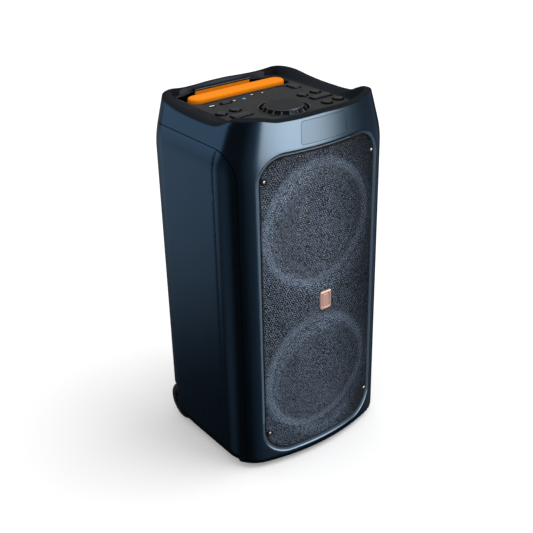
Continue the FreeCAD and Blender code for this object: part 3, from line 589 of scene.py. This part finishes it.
def front_shell():
    """Grille frame, front corners and cap as one moulding."""
    corner = arc_path(SEAM_FRONT + 50, SEAM_Z - 50, 50, 90, 180)
    heel = arc_path(SEAM_FRONT + 22, PANEL_LOW - 0.8 + 22, 22, 180, 254)
    step = [(CHIN_END - 6.0 - 6.0 * t, CHIN_LOW + 3.5 * (1 + math.cos(math.pi * t)))
            for t in (0.2, 0.4, 0.6, 0.8, 1.0)]
    half = [(HALF_GIRTH, SEAM_Z)] + to_girth(corner + heel + step)
    lower = [(-s, z) for s, z in half] + half[::-1]
    girth = np.linspace(HALF_GIRTH, -HALF_GIRTH, 360)
    upper = list(zip(girth, edge_height(girth)))
    outline = fill_gaps(lower + upper, 4.0)
    holes = [bowed(grille_opening(0.0)), plate_outline(0.35)]
    place = on_body(CHIN_LOW, 6.0)

    def closed(points, depth):
        """Brings both ends of the band together at the middle of the rear."""
        ends = np.abs(points[:, 0]) > HALF_GIRTH - 1.2
        at_end = np.stack([np.sign(points[:, 0]) * HALF_GIRTH, points[:, 1]], -1)
        points = np.where(ends[:, None], at_end, points)
        return place(points, depth)

    verts, faces = patch([outline] + holes, closed, SHELL, 6.0, rows=CHAMFER,
                         hole_rows={0: LIP, 1: PLATE_CHAMFER})
    at_join = (np.abs(verts[:, 0]) < 1e-3) & (verts[:, 1] > 100)
    return verts, [f for f in faces if not all(at_join[i] for i in f)]


def side_loop(is_trim):
    """Outline of the trim (the front part) or of the panel (the rest) on the right side."""
    low, high = PANEL_LOW, SEAM_Z - 2 * SEAM
    if is_trim:
        path = (arc_path(SEAM_FRONT + 50, high - 50, 50 - 2 * SEAM, 90, 180)
                + arc_path(SEAM_FRONT + 22, low + 22, 22 - 2 * SEAM, 180, 262))
        line = [(TRIM_SEAM - SEAM, low), (TRIM_SEAM - SEAM, high)]
        return fill_gaps(to_girth(path + line), 4.0)
    heel = arc_path(67, PANEL_LOW + 30, 30, 270, 360)
    rear = SEAM_REAR - 2 * SEAM
    path = [(TRIM_SEAM + SEAM, low)] + heel + [(97, 81), (97.2, WINDOW_Z), (rear, WINDOW_Z), (rear, high)]
    return fill_gaps(to_girth(path + [(TRIM_SEAM + SEAM, high)]), 4.0)


def near_grille(middles):
    """True within a few millimetres of the grille's opening, where the lip gets a lighter colour as a painted
    highlight.
    """
    return (middles[:, 1] < -100) & inside(middles[:, [0, 2]], [grille_opening(3.6)])


def painted_shade_on_lip(middles):
    """True on the part of that edge that faces up at the bottom, or stands to the right, which is coloured
    darker as painted shade.
    """
    return near_grille(middles) & ((middles[:, 2] < 100) | (middles[:, 0] > 60))


add_piece("front_shell_skin", front_shell(), PAINT, nodes=["front_shell"],
          second=(LIP_PAINTED_HIGHLIGHT, near_grille), third=(LIP_PAINTED_SHADE, painted_shade_on_lip))
trim = patch([side_loop(True)], on_body(PANEL_LOW, 5.0), SHELL, 6.0, rows=[(0, 0)])
add_piece("side_trim_skins", joined([trim, mirrored(trim)]), PAINT, nodes=["side_trims"])
panel = patch([side_loop(False)], on_body(PANEL_LOW, 5.0), SHELL, 7.0)
add_piece("side_panel_right_skin", panel, PAINT, nodes=["side_panel_right"])
add_piece("side_panel_left_skin", mirrored(panel), PAINT, nodes=["side_panel_left"])


def rear_panel():
    edge = HALF_GIRTH - girth_at(SEAM_REAR + SEAM)
    foot = BOW_LEN + 4.2
    half = [(foot, PANEL_LOW), (foot, WINDOW_Z), (edge, WINDOW_Z), (edge, SEAM_Z - 2 * SEAM)]
    outline = [(HALF_GIRTH + s, z) for s, z in half] + [(HALF_GIRTH - s, z) for s, z in half[::-1]]
    outline = fill_gaps(outline, 4.0)
    port = circle(HALF_GIRTH, 330, 38.5, 72)
    sockets = bowed(round_rect(-75.5, 75.5, 104.5, 205.5, [6.5] * 4)) + [HALF_GIRTH, 0]
    return patch([outline, port, sockets], on_body(PANEL_LOW, 5.0), SHELL, 7.0)


add_piece("rear_panel_skin", rear_panel(), PAINT, nodes=["rear_panel"])
add_piece("nameplate_skin", patch([plate_outline(0.0)], on_body(), 2.0, 4.0, rows=PLATE_CHAMFER), PLATE,
          nodes=["nameplate"])


# ---- top deck ------------------------------------------------------------
DECK_Z = 670.0
DECK_CENTRE = np.array([0.0, 14.0])
RIM_RISE = 3.5


def rear_limit(x):
    """Rear edge of the deck: bowed, but straight behind the release paddle so that it can be pushed in."""
    t = np.clip((np.abs(x) - 66.0) / 24.0, 0, 1)
    return np.minimum(148.6, 149.0 - x ** 2 / (2 * BOW) + 4.6 * (1 - t * t * (3 - 2 * t)))


def deck_radius(angle):
    """Distance from the deck's centre to its edge, by direction."""
    low, high = np.array([-117.0, -130.0]), np.array([117.0, 158.0])
    ray = np.stack([np.cos(angle), np.sin(angle)], -1)
    corner = 24.0
    out = np.zeros(len(ray))
    for i, d in enumerate(ray):
        lo, hi = 40.0, 220.0
        for _ in range(32):
            mid = (lo + hi) / 2
            p = DECK_CENTRE + d * mid
            q = np.maximum(np.maximum(low + corner - p, p - high + corner), 0)
            if np.hypot(*q) < corner and p[1] < rear_limit(p[0]):
                lo = mid
            else:
                hi = mid
        out[i] = lo
    return out


def deck_moulding():
    """Rim band and flaring walls down to the edge of the flat deck; returns that edge too."""
    n = 420
    s = np.linspace(-HALF_GIRTH, HALF_GIRTH, n, endpoint=False)
    edge = edge_height(s)
    shoulder = body(s, edge + 0.3, 0.8)
    wide = 11.0
    crest = body(s, edge + RIM_RISE, wide)
    towards = crest[:, :2] - DECK_CENTRE
    angle = np.arctan2(towards[:, 1], towards[:, 0])
    radius = deck_radius(angle)
    kernel = np.ones(5) / 5
    radius = np.convolve(np.concatenate([radius[-2:], radius, radius[:2]]), kernel, "valid")
    floor = DECK_CENTRE + np.stack([np.cos(angle), np.sin(angle)], -1) * radius[:, None]
    rows = [body(s, edge - 4.0, 5.0), body(s, edge - 4.0, 0.9), shoulder]
    for t in (0.12, 0.3, 0.55, 0.8):
        inset = 0.8 + (wide - 0.8) * t
        rows.append(body(s, edge + 0.3 + (RIM_RISE - 0.3) * math.sin(math.pi / 2 * t), inset))
    rows.append(crest)
    for t in (0.06, 0.14, 0.26, 0.4, 0.55, 0.7, 0.84, 0.94):
        ease = 0.5 - 0.5 * np.cos(math.pi * t)
        plan = crest[:, :2] + (floor - crest[:, :2]) * t
        height = crest[:, 2] + (DECK_Z - crest[:, 2]) * ease
        rows.append(np.column_stack([plan, height]))
    rows.append(np.column_stack([floor, np.full(n, DECK_Z)]))
    under = np.column_stack([floor, np.full(n, DECK_Z - 4.0)])
    ring = [under, body(s, edge - 12.0, 9.0)] + rows
    verts = np.vstack(ring)
    faces = []
    for i in range(len(ring) - 1):
        a, b = i * n, (i + 1) * n
        faces += [(a + k, a + (k + 1) % n, b + (k + 1) % n, b + k) for k in range(n)]
    return verts, faces, floor


def flat(z):
    return lambda p, depth: np.column_stack([p, z - depth])


BUTTONS = {"power": (-105, -6, 10), "source": (-74, -4, 10), "bass": (72, -12, 9.5), "next": (103, -12, 9.5),
           "mic": (77, -75, 9.5), "guitar": (106, -72, 9.5)}
KEYS = {"light": (-83, -35, 20, 7.5, 3.0), "play": (92, -40, 22, 7.5, 3.0), "effect": (95, 43, 9, 13, 4.0),
        "pairing": (-62, 42, 12, 4.5, 4.4)}
LAMPS = [(-92, 42, 7.5), (-43, 42, 4.5), (3, 51, 5.0), (25, 48, 4.5)]
BLUE_LAMP = (-21, 42, 3.6)
CONTROLS = list(BUTTONS) + list(KEYS)


def button_loop(name, grow):
    if name in BUTTONS:
        x, y, r = BUTTONS[name]
        return circle(x, y, r + grow, 48)
    x, y, a, b, r = KEYS[name]
    return round_rect(x - a - grow, x + a + grow, y - b - grow, y + b + grow, [r + grow] * 4, 3.0)


def well_loop():
    """The handle well's mouth: straight sides, and a rear edge that follows the bow."""
    rear = [(x, rear_limit(x) - 1.0) for x in np.linspace(101, -101, 41)]
    left = arc_path(-101, rear[-1][1] - 12, 12, 90, 180, 6) + arc_path(-97, 84, 16, 180, 270, 8)
    right = arc_path(97, 84, 16, 270, 360, 8) + arc_path(101, rear[0][1] - 12, 12, 0, 90, 6)
    return fill_gaps(left + right + rear, 4.0)


deck_verts, deck_faces, deck_edge = deck_moulding()
holes = [well_loop(), circle(0, -49, 47.4, 96)]
holes += [button_loop(name, 0.5) for name in CONTROLS]
holes += [circle(x, y, r + 0.1, 32) for x, y, r in LAMPS + [BLUE_LAMP]]
COLLAR = [(0, 3.0), (0, 1.8), (0.25, 1.1), (1.0, 0.4), (2.0, 0.08), (2.3, 0.0)]
hole_rows = {i: COLLAR if 2 <= i < 12 else bevel(0.5) for i in range(len(holes))}
deck_plate = patch([deck_edge] + holes, flat(DECK_Z), 4.0, 7.0, rows=[(0, 0)], hole_rows=hole_rows)


def on_collar_painted_shade(middles):
    """True on the deck's sunken collars round the keys, which are coloured black as painted shade."""
    hit = np.zeros(len(middles), bool)
    for name in CONTROLS:
        hit |= inside(middles[:, :2], [button_loop(name, 2.6)])
    return hit


def on_rear_wall(middles):
    """True on the flaring wall behind the handle, below its crest, which gets a lighter colour there as
    painted light.
    """
    x, y, z = middles.T
    rear = HALF_DEPTH - LEAN_REAR * lean(z) - x ** 2 / (2 * BOW)
    return (y > 118) & (y < rear - 6.5) & (np.abs(x) < 98) & (z > DECK_Z + 0.2) & (z < 679.6)


add_piece("top_deck_rim", (deck_verts, deck_faces), RIM, nodes=["top_deck"], sharp=50,
          second=(REAR_WALL_PAINTED_LIGHT, on_rear_wall))
# The black collars round the keys are painted shade.
add_piece("top_deck_plate", deck_plate, DECK, nodes=["top_deck"], second=(GLOSS, on_collar_painted_shade))

# Hood over the release paddle, with a thin lighter line along its front edge as a painted highlight.
HOOD_TOP, HOOD_THICK, HOOD_HALF, HOOD_FRONT, HOOD_REAR = 673.6, 2.6, 64, 137.6, 155.0
hood_path = [(-HOOD_HALF, HOOD_FRONT), (HOOD_HALF, HOOD_FRONT)]
hood_rear = [(x, HOOD_REAR - x * x / (2 * BOW)) for x in np.linspace(HOOD_HALF, -HOOD_HALF, 33)]
hood_loop = fill_gaps(hood_path + hood_rear, 3.0)
add_piece("release_hood", patch([hood_loop], flat(HOOD_TOP), HOOD_THICK, 5.0, rows=bevel(0.9)), RIM,
          second=(PAINTED_EDGE_HIGHLIGHT, lambda m: (m[:, 1] < HOOD_FRONT + 1.0) & (m[:, 2] > HOOD_TOP - 0.8)))

KEY_ROWS = [(0, 2.4), (0.12, 1.6), (0.5, 0.85), (1.1, 0.35), (1.7, 0.1), (2.1, 0.0)]
# Key sides are black under charcoal tops. The dark sides are partly the keys' own black plastic and partly
# painted shade.
for name in CONTROLS:
    cap = patch([button_loop(name, 0.0)], flat(673.0), 12.6, 5.0, rows=KEY_ROWS)
    add_piece(name + "_key", cap, GLOSS, rides=name + "_button", nodes=[name + "_button"],
              second=(KEY_TOP, lambda m: m[:, 2] > 672.75))


def lens(x, y, r):
    return lathe([(0.01, 0.5), (r * 0.5, 0.46), (r * 0.85, 0.25), (r, -0.3), (r, -6.0), (0.01, -6.0)],
                 (x, y, DECK_Z), (0, 0, 1), 40, closed=False)


add_piece("lamp_windows", joined([lens(*lamp) for lamp in LAMPS]), GLOSS, nodes=["indicator_lights"])
add_piece("blue_lamp", lens(*BLUE_LAMP), BLUE, nodes=["indicator_blue"])
marks = [round_rect(x - a, x + a, y - b, y + b, [min(a, b) * 0.95] * 4, 1.5)
         for x, y, a, b in ((-92, 42, 5.6, 2.0), (-43, 42, 2.4, 2.4), (3, 51, 2.6, 2.0), (25, 48, 2.2, 1.6))]
add_piece("lamp_marks", joined([patch([m], flat(DECK_Z + 0.8), 0.6, 2.0, rows=bevel(0.2)) for m in marks]),
          WHITE)


def ribbon(path, width):
    """Outline of a strip of the given width along a path of deck points."""
    path = np.array(path, float)
    along = np.gradient(path, axis=0)
    across = np.stack([-along[:, 1], along[:, 0]], -1) / np.linalg.norm(along, axis=1)[:, None]
    return fill_gaps(np.vstack([path - across * width / 2, (path + across * width / 2)[::-1]]), 2.0)


# Painted shade: thin near-black strips stand for the shadow line along a groove and round its hook at the
# right.
line = [(x, 61.0) for x in np.linspace(-98, 62, 30)]
hook = [(66 + 24 * math.sin(a), 36 + 25 * math.cos(a)) for a in np.linspace(0, 1.15, 12)]
groove_shade_strips = [patch([ribbon(path, width)], flat(DECK_Z + 0.3), 0.8, 2.0, rows=bevel(0.1))
           for path, width in ((line, 1.6), (hook, 3.6))]
add_piece("deck_groove_painted_shade", joined(groove_shade_strips), WELL_BLACK)

# ---- volume knob ---------------------------------------------------------
FLUTES = 16
KNOB_Y = -49
# How deep the hollows are, as a share of the radius, by row of knob_profile.
FLUTE_DEPTH = {3: 0.03, 4: 0.045, 5: 0.045, 6: 0.02}


def knob_ripple(angle, row):
    """Concave panels with sharp ribs between them on the skirt rows."""
    return 1.0 - FLUTE_DEPTH.get(row, 0.0) * abs(math.sin(angle * FLUTES / 2)) ** 0.6


knob_profile = [(0.01, 660.6), (5.6, 660.6), (5.6, 665.8), (42.2, 665.8), (42.4, 667.5), (38.6, 672.3),
                (36.2, 674.2), (35.0, 675.0), (34.6, 676.2), (33.6, 677.2), (31.8, 677.5), (20.0, 676.9),
                (8.0, 676.6), (0.01, 676.55)]
knob = lathe(knob_profile, (0, KNOB_Y, 0), (0, 0, 1), 192, closed=False, ripple=knob_ripple)


def on_rib(middles):
    """True on the ribs between the knob's hollowed panels, and on the rim of its top, which get a lighter
    colour as a painted highlight.
    """
    x, y, z = middles.T
    rib = (np.abs(np.sin(np.arctan2(y - KNOB_Y, x) * FLUTES / 2)) < 0.22) & (z > 666.5) & (z < 674.6)
    return rib | ((z > 675.3) & (z < 677.0) & (np.hypot(x, y - KNOB_Y) > 33.0))


add_piece("knob_body", knob, GLOSS, rides="volume_knob", nodes=["volume_knob"],
          sharp=28, second=(PAINTED_EDGE_HIGHLIGHT, on_rib))
ring_profile = [(6.2, 663.0), (46.9, 663.0), (47.3, 663.4), (47.3, 670.4), (46.9, 671.0), (46.1, 671.2),
                (45.2, 670.9), (44.6, 670.0), (44.4, 668.0), (44.2, 665.0), (6.2, 665.0)]
# The dish's top lip has a lighter colour as a painted highlight.
add_piece("knob_dish", lathe(ring_profile, (0, KNOB_Y, 0), (0, 0, 1), 144), BLACK, nodes=["knob_ring"],
          second=(PAINTED_EDGE_HIGHLIGHT, lambda m: m[:, 2] > 670.9))

# ---- trolley handle ------------------------------------------------------
GRIP_ROWS = [(0, 5.0), (0.35, 3.2), (1.2, 1.7), (2.6, 0.75), (4.6, 0.25), (8.0, 0.0)]


def bar(x0, x1, y0, y1, top, bottom, radius, rows):
    loop = round_rect(x0, x1, y0, y1, [radius] * 4, 3.0)
    upper = patch([loop], flat(top), (top - bottom) / 2, 5.0, rows=rows)
    lower = patch([loop], lambda p, d: np.column_stack([p, bottom + d]), (top - bottom) / 2, 5.0, rows=rows)
    points, faces = joined([upper, (lower[0], [f[::-1] for f in lower[1]])])
    off_middle = np.abs(points[:, 2] - (top + bottom) / 2) > 1e-6
    return points, [f for f in faces if off_middle[list(f)].any()]


add_piece("grip_bar", bar(-107, 107, 76, 110, 675.0, 654.0, 16.9, GRIP_ROWS), ORANGE, rides="handle_grip",
          nodes=["handle_grip"])
add_piece("release_paddle", bar(-63, 63, 138.0, 142.5, 669.6, 640.0, 2.2, bevel(1.0)), ORANGE,
          rides="handle_release", nodes=["handle_release"])

# ---- grille --------------------------------------------------------------
GRILLE_Y = HALF_DEPTH - 3.0
PITCH, HOLE = 4.6, 1.75
SCREWS = [(x, z) for x in (-121, 121) for z in (76, 590)]
BADGE_Z = 333


def on_sheet(points, depth):
    """Flat x, z to the bowed grille sheet."""
    x, z = points[:, 0], points[:, 1]
    r = BOW - depth
    k = x / BOW
    return np.column_stack([r * k, BOW - GRILLE_Y - r * np.sqrt(1 - k ** 2), z])


def grille_flat(grow, step=4.0):
    return round_rect(-128.8 - grow, 128.8 + grow, 32.2 - grow, 627.8 + grow,
                      [49.8 + grow] * 2 + [42.8 + grow] * 2, step)


def perforated(z0, z1):
    """Hexagonal cells with a hole in each, between two heights."""
    across, up = PITCH, PITCH * math.sqrt(3) / 2
    rows = range(int(math.floor(20 / up)), int(math.ceil(640 / up)))
    cells = np.array([(across * (i + 0.5 * (j % 2)), up * j) for j in rows for i in range(-34, 35)])
    cells = cells[(cells[:, 1] >= z0) & (cells[:, 1] < z1)]
    cells = cells[inside(cells, [grille_flat(-2.2)])]
    away = np.ones(len(cells), bool)
    for x, z, r in [(sx, sz, 6.0) for sx, sz in SCREWS] + [(0, BADGE_Z, 7.0)]:
        away &= np.hypot(cells[:, 0] - x, cells[:, 1] - z) > r
    cells = cells[away]
    a = np.radians(30 + 60 * np.arange(6))
    outer = PITCH / math.sqrt(3)
    ring = np.stack([np.cos(a), np.sin(a)], -1)
    hexes = cells[:, None, :] + ring * outer
    holes = cells[:, None, :] + ring * HOLE
    n = len(cells)
    flat_points = np.concatenate([hexes, holes, holes], 1).reshape(-1, 2)
    depth = np.tile(np.repeat([0.15, 0.15, 1.1], 6), n)
    verts = on_sheet(flat_points, depth)
    base = (np.arange(n) * 18)[:, None]
    k = np.arange(6)
    m = (k + 1) % 6
    front = np.stack([base + k, base + m, base + 6 + m, base + 6 + k], -1).reshape(-1, 4)
    wall = np.stack([base + 6 + k, base + 6 + m, base + 12 + m, base + 12 + k], -1).reshape(-1, 4)
    return verts, [tuple(f) for f in np.concatenate([front, wall])]


grille_border = patch([grille_flat(0.0), grille_flat(-1.1)[::-1]], on_sheet, 1.4, 4.0, rows=bevel(0.6),
                      hole_rows=[(0, 0.3), (0.4, 0.0)])
screw_pads = [patch([circle(x, z, 6.2, 32), circle(x, z, 1.8, 16)], on_sheet, 1.0, 3.0,
                    rows=[(0, 0.3), (0.5, 0.0)]) for x, z in SCREWS]
lower_mesh = perforated(20, BADGE_Z)
upper_mesh = perforated(BADGE_Z, 650)
add_piece("grille_frame", joined([grille_border] + screw_pads), BLACK)
add_piece("grille_lower", lower_mesh, MESH, nodes=["grille"])
add_piece("grille_upper", upper_mesh, MESH, nodes=["grille"])


def sheet_y(x):
    return BOW - GRILLE_Y - math.sqrt(BOW ** 2 - x ** 2)


def screw(x, z):
    head = [(0.01, -0.4), (1.5, -0.4), (1.6, -1.5), (2.6, -1.35), (3.1, -0.9), (3.2, 0.0),
            (1.5, 0.0), (1.5, 8.0), (0.01, 8.0)]
    return lathe(head, (x, sheet_y(x), z), (0, 1, 0), 24, closed=False)


add_piece("screws", joined([screw(x, z) for x, z in SCREWS]), STEEL, nodes=["grille_screws"])


def facing(y):
    return lambda p, depth: np.column_stack([p[:, 0], y + depth, p[:, 1]])


BADGE_ROWS = [(0, 2.8), (0, 1.6), (0.4, 1.0), (2.0, 0.1), (2.6, 0.0)]
plaque_loops = [round_rect(-13, 13, 314, 352, [6, 6, 3, 3], 1.5),
                round_rect(-8, 8, 319, 347, [4, 4, 2, 2], 1.5)]
plaque = patch(plaque_loops, facing(-166.0), 2.9, 2.0, rows=BADGE_ROWS,
               hole_rows=[(0, 1.4), (0.5, 0.3), (1.0, 0.0)])
centre = patch([round_rect(-6.4, 6.4, 321, 345.4, [3, 3, 1.5, 1.5], 1.5)], facing(-165.4), 2.2, 2.0,
               rows=bevel(0.5))
floor_plate = patch([round_rect(-8.2, 8.2, 318.8, 347.2, [4, 4, 2, 2], 1.5)], facing(-164.6), 1.4, 2.5,
                    rows=[(0, 0), (0.2, 0)])
add_piece("badge_plaque", joined([plaque, centre, floor_plate]), ROSE, nodes=["badge"])

# ---- light rings ---------------------------------------------------------
# Each ring's flanks are painted darker than its crown, as painted shade.
for name, z in zip(("upper", "lower"), RING_HEIGHTS):
    band = [(RING_RADIUS + 9.9 * math.cos(a), -3.9 * math.sin(a)) for a in np.linspace(0, math.pi, 25)]
    add_piece(name + "_light_ring", lathe(band, (0, -136.0, z), (0, 1, 0), 144), RING_FLANK_PAINTED_SHADE,
              nodes=["light_rings"],
              second=(RING, lambda m, z=z: np.abs(np.hypot(m[:, 0], m[:, 2] - z) - RING_RADIUS) < 6.5))


# ---- wheels --------------------------------------------------------------
WHEEL_X, WHEEL_Y, WHEEL_RADIUS = 154.5, 94, 39


def tyre_profile(w0, w1):
    """Tread with three grooves, and rounded shoulders down to the hub."""
    shoulder = [(27.1, 0.6), (30.0, 0.0), (34.0, 0.2), (37.0, 1.6), (38.6, 4.2), (39.0, 7.0)]
    pts = [(r, w0 + w) for r, w in shoulder]
    for g in (w0 + 10.0, (w0 + w1) / 2, w1 - 10.0):
        pts += [(39.0, g - 1.0), (37.8, g - 0.5), (37.8, g + 0.5), (39.0, g + 1.0)]
    return pts + [(r, w1 - w) for r, w in shoulder[::-1]]


def hub_shape():
    """Dished hub with six spokes, drawn about the origin with its outer face towards -X."""
    def place(p, depth):
        return np.column_stack([-15.0 + depth, p[:, 0], p[:, 1]])
    spokes = []
    for k in range(6):
        a0, a1 = math.radians(60 * k + 9), math.radians(60 * k + 51)
        outer = [(22.0 * math.cos(a), 22.0 * math.sin(a)) for a in np.linspace(a0, a1, 9)]
        inner = [(11.0 * math.cos(a), 11.0 * math.sin(a)) for a in np.linspace(a1, a0, 6)]
        spokes.append(fill_gaps(outer + inner, 2.0))
    face = patch([circle(0, 0, 27.0, 72), circle(0, 0, 4.05, 24)] + spokes, place, 6.0, 3.0, rows=bevel(0.9))
    drum = lathe([(27.0, -9.2), (27.0, 15.0), (4.05, 15.0), (4.05, -9.2)], (0, 0, 0), (1, 0, 0), 72)
    return joined([face, drum])


for side, sign in (("left", -1), ("right", 1)):
    centre = (sign * WHEEL_X, WHEEL_Y, WHEEL_RADIUS)
    tyre = lathe(tyre_profile(-15.0, 15.0), centre, (1, 0, 0), 96)
    add_piece(side + "_tyre_ring", tyre, TYRE, rides=side + "_wheel", nodes=[side + "_tyre"])
    hub = hub_shape() if sign < 0 else mirrored(hub_shape())
    add_piece(side + "_hub_wheel", moved(hub, *centre), BLACK, rides=side + "_wheel",
              nodes=[side + "_hub"])

foot = [(0.01, 0.0), (14.5, 0.0), (16.2, 0.8), (17.0, 2.6), (17.0, 10.0), (16.0, 14.0), (0.01, 14.0)]
feet = [lathe(foot, (x, -104, 0), (0, 0, 1), 48, closed=False) for x in (-112, 112)]
add_piece("rubber_feet", joined(feet), RUBBER, nodes=["feet"])

# ---- rear fittings -------------------------------------------------------
port = [(34.0, 60.0), (34.0, 152.0), (37.2, 157.0), (38.0, 158.6), (37.2, 159.6), (35.2, 159.4),
        (32.4, 155.5), (31.2, 149.0), (31.0, 140.0), (31.0, 60.0)]
add_piece("bass_port_flare", lathe(port, (0, 0, 330), (0, 1, 0), 96), BLACK, nodes=["bass_port"])
nut = [(3.3, 151.5), (5.6, 151.5), (6.9, 152.1), (7.2, 153.2), (6.0, 154.6), (4.2, 154.9), (3.4, 154.4)]
nuts = [lathe(nut, (x, -0.8, 172), (0, 1, 0), 12) for x in (-48, -20)]
add_piece("jack_nuts", joined(nuts), STEEL)

# Small rounded edges, in metres, on the CAD pieces that stay.
for node_name, width in (("io_panel", 0.0005), ("power_inlet", 0.0004), ("power_switch", 0.0003),
                         ("base_panel", 0.0005)):
    softener = frame["nodes"][node_name].modifiers.new("edges", "BEVEL")
    softener.width = width
    softener.segments = 2
    softener.limit_method = "ANGLE"
    softener.angle_limit = math.radians(50)
    softener.harden_normals = False


# ---- floor, light and camera --------------------------------------------
def studio():
    """Pale floor, one wide soft sun, and a world that only glossy rays see as softboxes."""
    floor_mesh = bpy.data.meshes.new("floor")
    reach = 14.0
    corners = [(-reach, -reach, 0), (reach, -reach, 0), (reach, reach, 0), (-reach, reach, 0)]
    floor_mesh.from_pydata(corners, [], [(0, 1, 2, 3)])
    floor_obj = bpy.data.objects.new("floor", floor_mesh)
    bpy.context.scene.collection.objects.link(floor_obj)
    pale = bpy.data.materials.new("floor_white")
    pale.use_nodes = True
    shader = pale.node_tree.nodes["Principled BSDF"]
    for key, value in (("Base Color", (0.9, 0.9, 0.9, 1)), ("Roughness", 0.9), ("Specular IOR Level", 0.0),
                       ("Emission Color", (1, 1, 1, 1)), ("Emission Strength", 0.18)):
        shader.inputs[key].default_value = value
    floor_mesh.materials.append(pale)
    floor_obj.visible_glossy = False

    sun = bpy.data.objects.new("key", bpy.data.lights.new("key", "SUN"))
    sun.data.energy = 1.3
    sun.data.angle = math.radians(50)
    to_light = Vector((0.5, -0.28, 0.82))
    sun.rotation_mode = "QUATERNION"
    sun.rotation_quaternion = to_light.to_track_quat("Z", "Y")
    sun.visible_glossy = False
    bpy.context.scene.collection.objects.link(sun)

    world = bpy.data.worlds.new("studio")
    bpy.context.scene.world = world
    world.use_nodes = True
    tree = world.node_tree
    tree.nodes.clear()
    white = (1, 1, 1, 1)
    soft = add_node(tree, "Background", {"Color": white, "Strength": 0.76}).outputs["Background"]
    backdrop = add_node(tree, "Background", {"Color": white}).outputs["Background"]
    where = add_node(tree, "TexCoord").outputs["Generated"]
    total = None
    for azimuth, elevation, inner, outer, strength, tint in SOFTBOXES:
        a, e = math.radians(azimuth), math.radians(elevation)
        middle = (math.sin(a) * math.cos(e), math.cos(a) * math.cos(e), math.sin(e))
        dot = add_node(tree, "VectorMath", {1: middle}, {0: where})
        dot.operation = "DOT_PRODUCT"
        start, full = math.cos(math.radians(outer)), math.cos(math.radians(inner))
        shape = between(tree, dot.outputs["Value"], start, full, 0.0, strength)
        plus = add_node(tree, "VectorMath", {0: tint}, {1: shape})
        plus.operation = "MULTIPLY_ADD"
        if total is None:
            plus.inputs[2].default_value = (DARK, DARK, DARK)
        else:
            tree.links.new(total, plus.inputs[2])
        total = plus.outputs["Vector"]
    seen = add_node(tree, "Background", links={"Color": total}).outputs["Background"]
    path = add_node(tree, "LightPath")
    lit = add_node(tree, "MixShader", links={"Fac": path.outputs["Is Glossy Ray"], 1: soft, 2: seen})
    mix = add_node(tree, "MixShader",
                   links={"Fac": path.outputs["Is Camera Ray"], 1: lit.outputs["Shader"], 2: backdrop})
    add_node(tree, "OutputWorld", links={"Surface": mix.outputs["Shader"]})


# What glossy rays see: azimuth from +Y towards +X, elevation, full inside this angle, none beyond this
# angle, strength, tint. DARK is the light between them.
COOL, NEUTRAL, WARM = (0.72, 1.0, 1.28), (1.0, 1.0, 1.0), (1.22, 1.03, 0.9)
DARK = 0.006
SOFTBOXES = [
    (158, 5, 6, 32, 4.35, WARM),
    (175, 0, 10, 65, 0.12, COOL),
    (-30, -16, 2, 18, 0.31, COOL),
    (-36, 10, 4, 20, 0.42, COOL),
    (-5, -12, 5, 25, 0.13, (0.85, 1.0, 1.12)),
    (-68, -22, 3, 25, 0.1, COOL),
    (95, -20, 5, 25, 0.15, COOL),
    (37, 27, 5, 28, 0.2, NEUTRAL),
    (142, 36, 8, 30, 1.3, COOL),
    (0, 75, 10, 40, 0.3, NEUTRAL),
]


def camera():
    """Camera at the photograph's angle, with a slight roll, in metres."""
    azimuth, elevation, roll = math.radians(-36.86), math.radians(27.15), math.radians(-1.35)
    back = Vector((math.sin(azimuth) * math.cos(elevation), -math.cos(azimuth) * math.cos(elevation),
                   math.sin(elevation)))
    right = (-back).cross(Vector((0, 0, 1))).normalized()
    up = right.cross(-back)
    tilted_right = right * math.cos(roll) + up * math.sin(roll)
    tilted_up = up * math.cos(roll) - right * math.sin(roll)
    data = bpy.data.cameras.new("camera")
    data.sensor_width = 36.0
    data.lens = 62.83
    cam = bpy.data.objects.new("camera", data)
    cam.matrix_world = Matrix((
        (tilted_right.x, tilted_up.x, back.x, -0.9808),
        (tilted_right.y, tilted_up.y, back.y, -1.2943),
        (tilted_right.z, tilted_up.z, back.z, 1.16925),
        (0, 0, 0, 1)))
    bpy.context.scene.collection.objects.link(cam)
    bpy.context.scene.camera = cam


studio()
camera()
bpy.context.scene.view_settings.view_transform = "Standard"
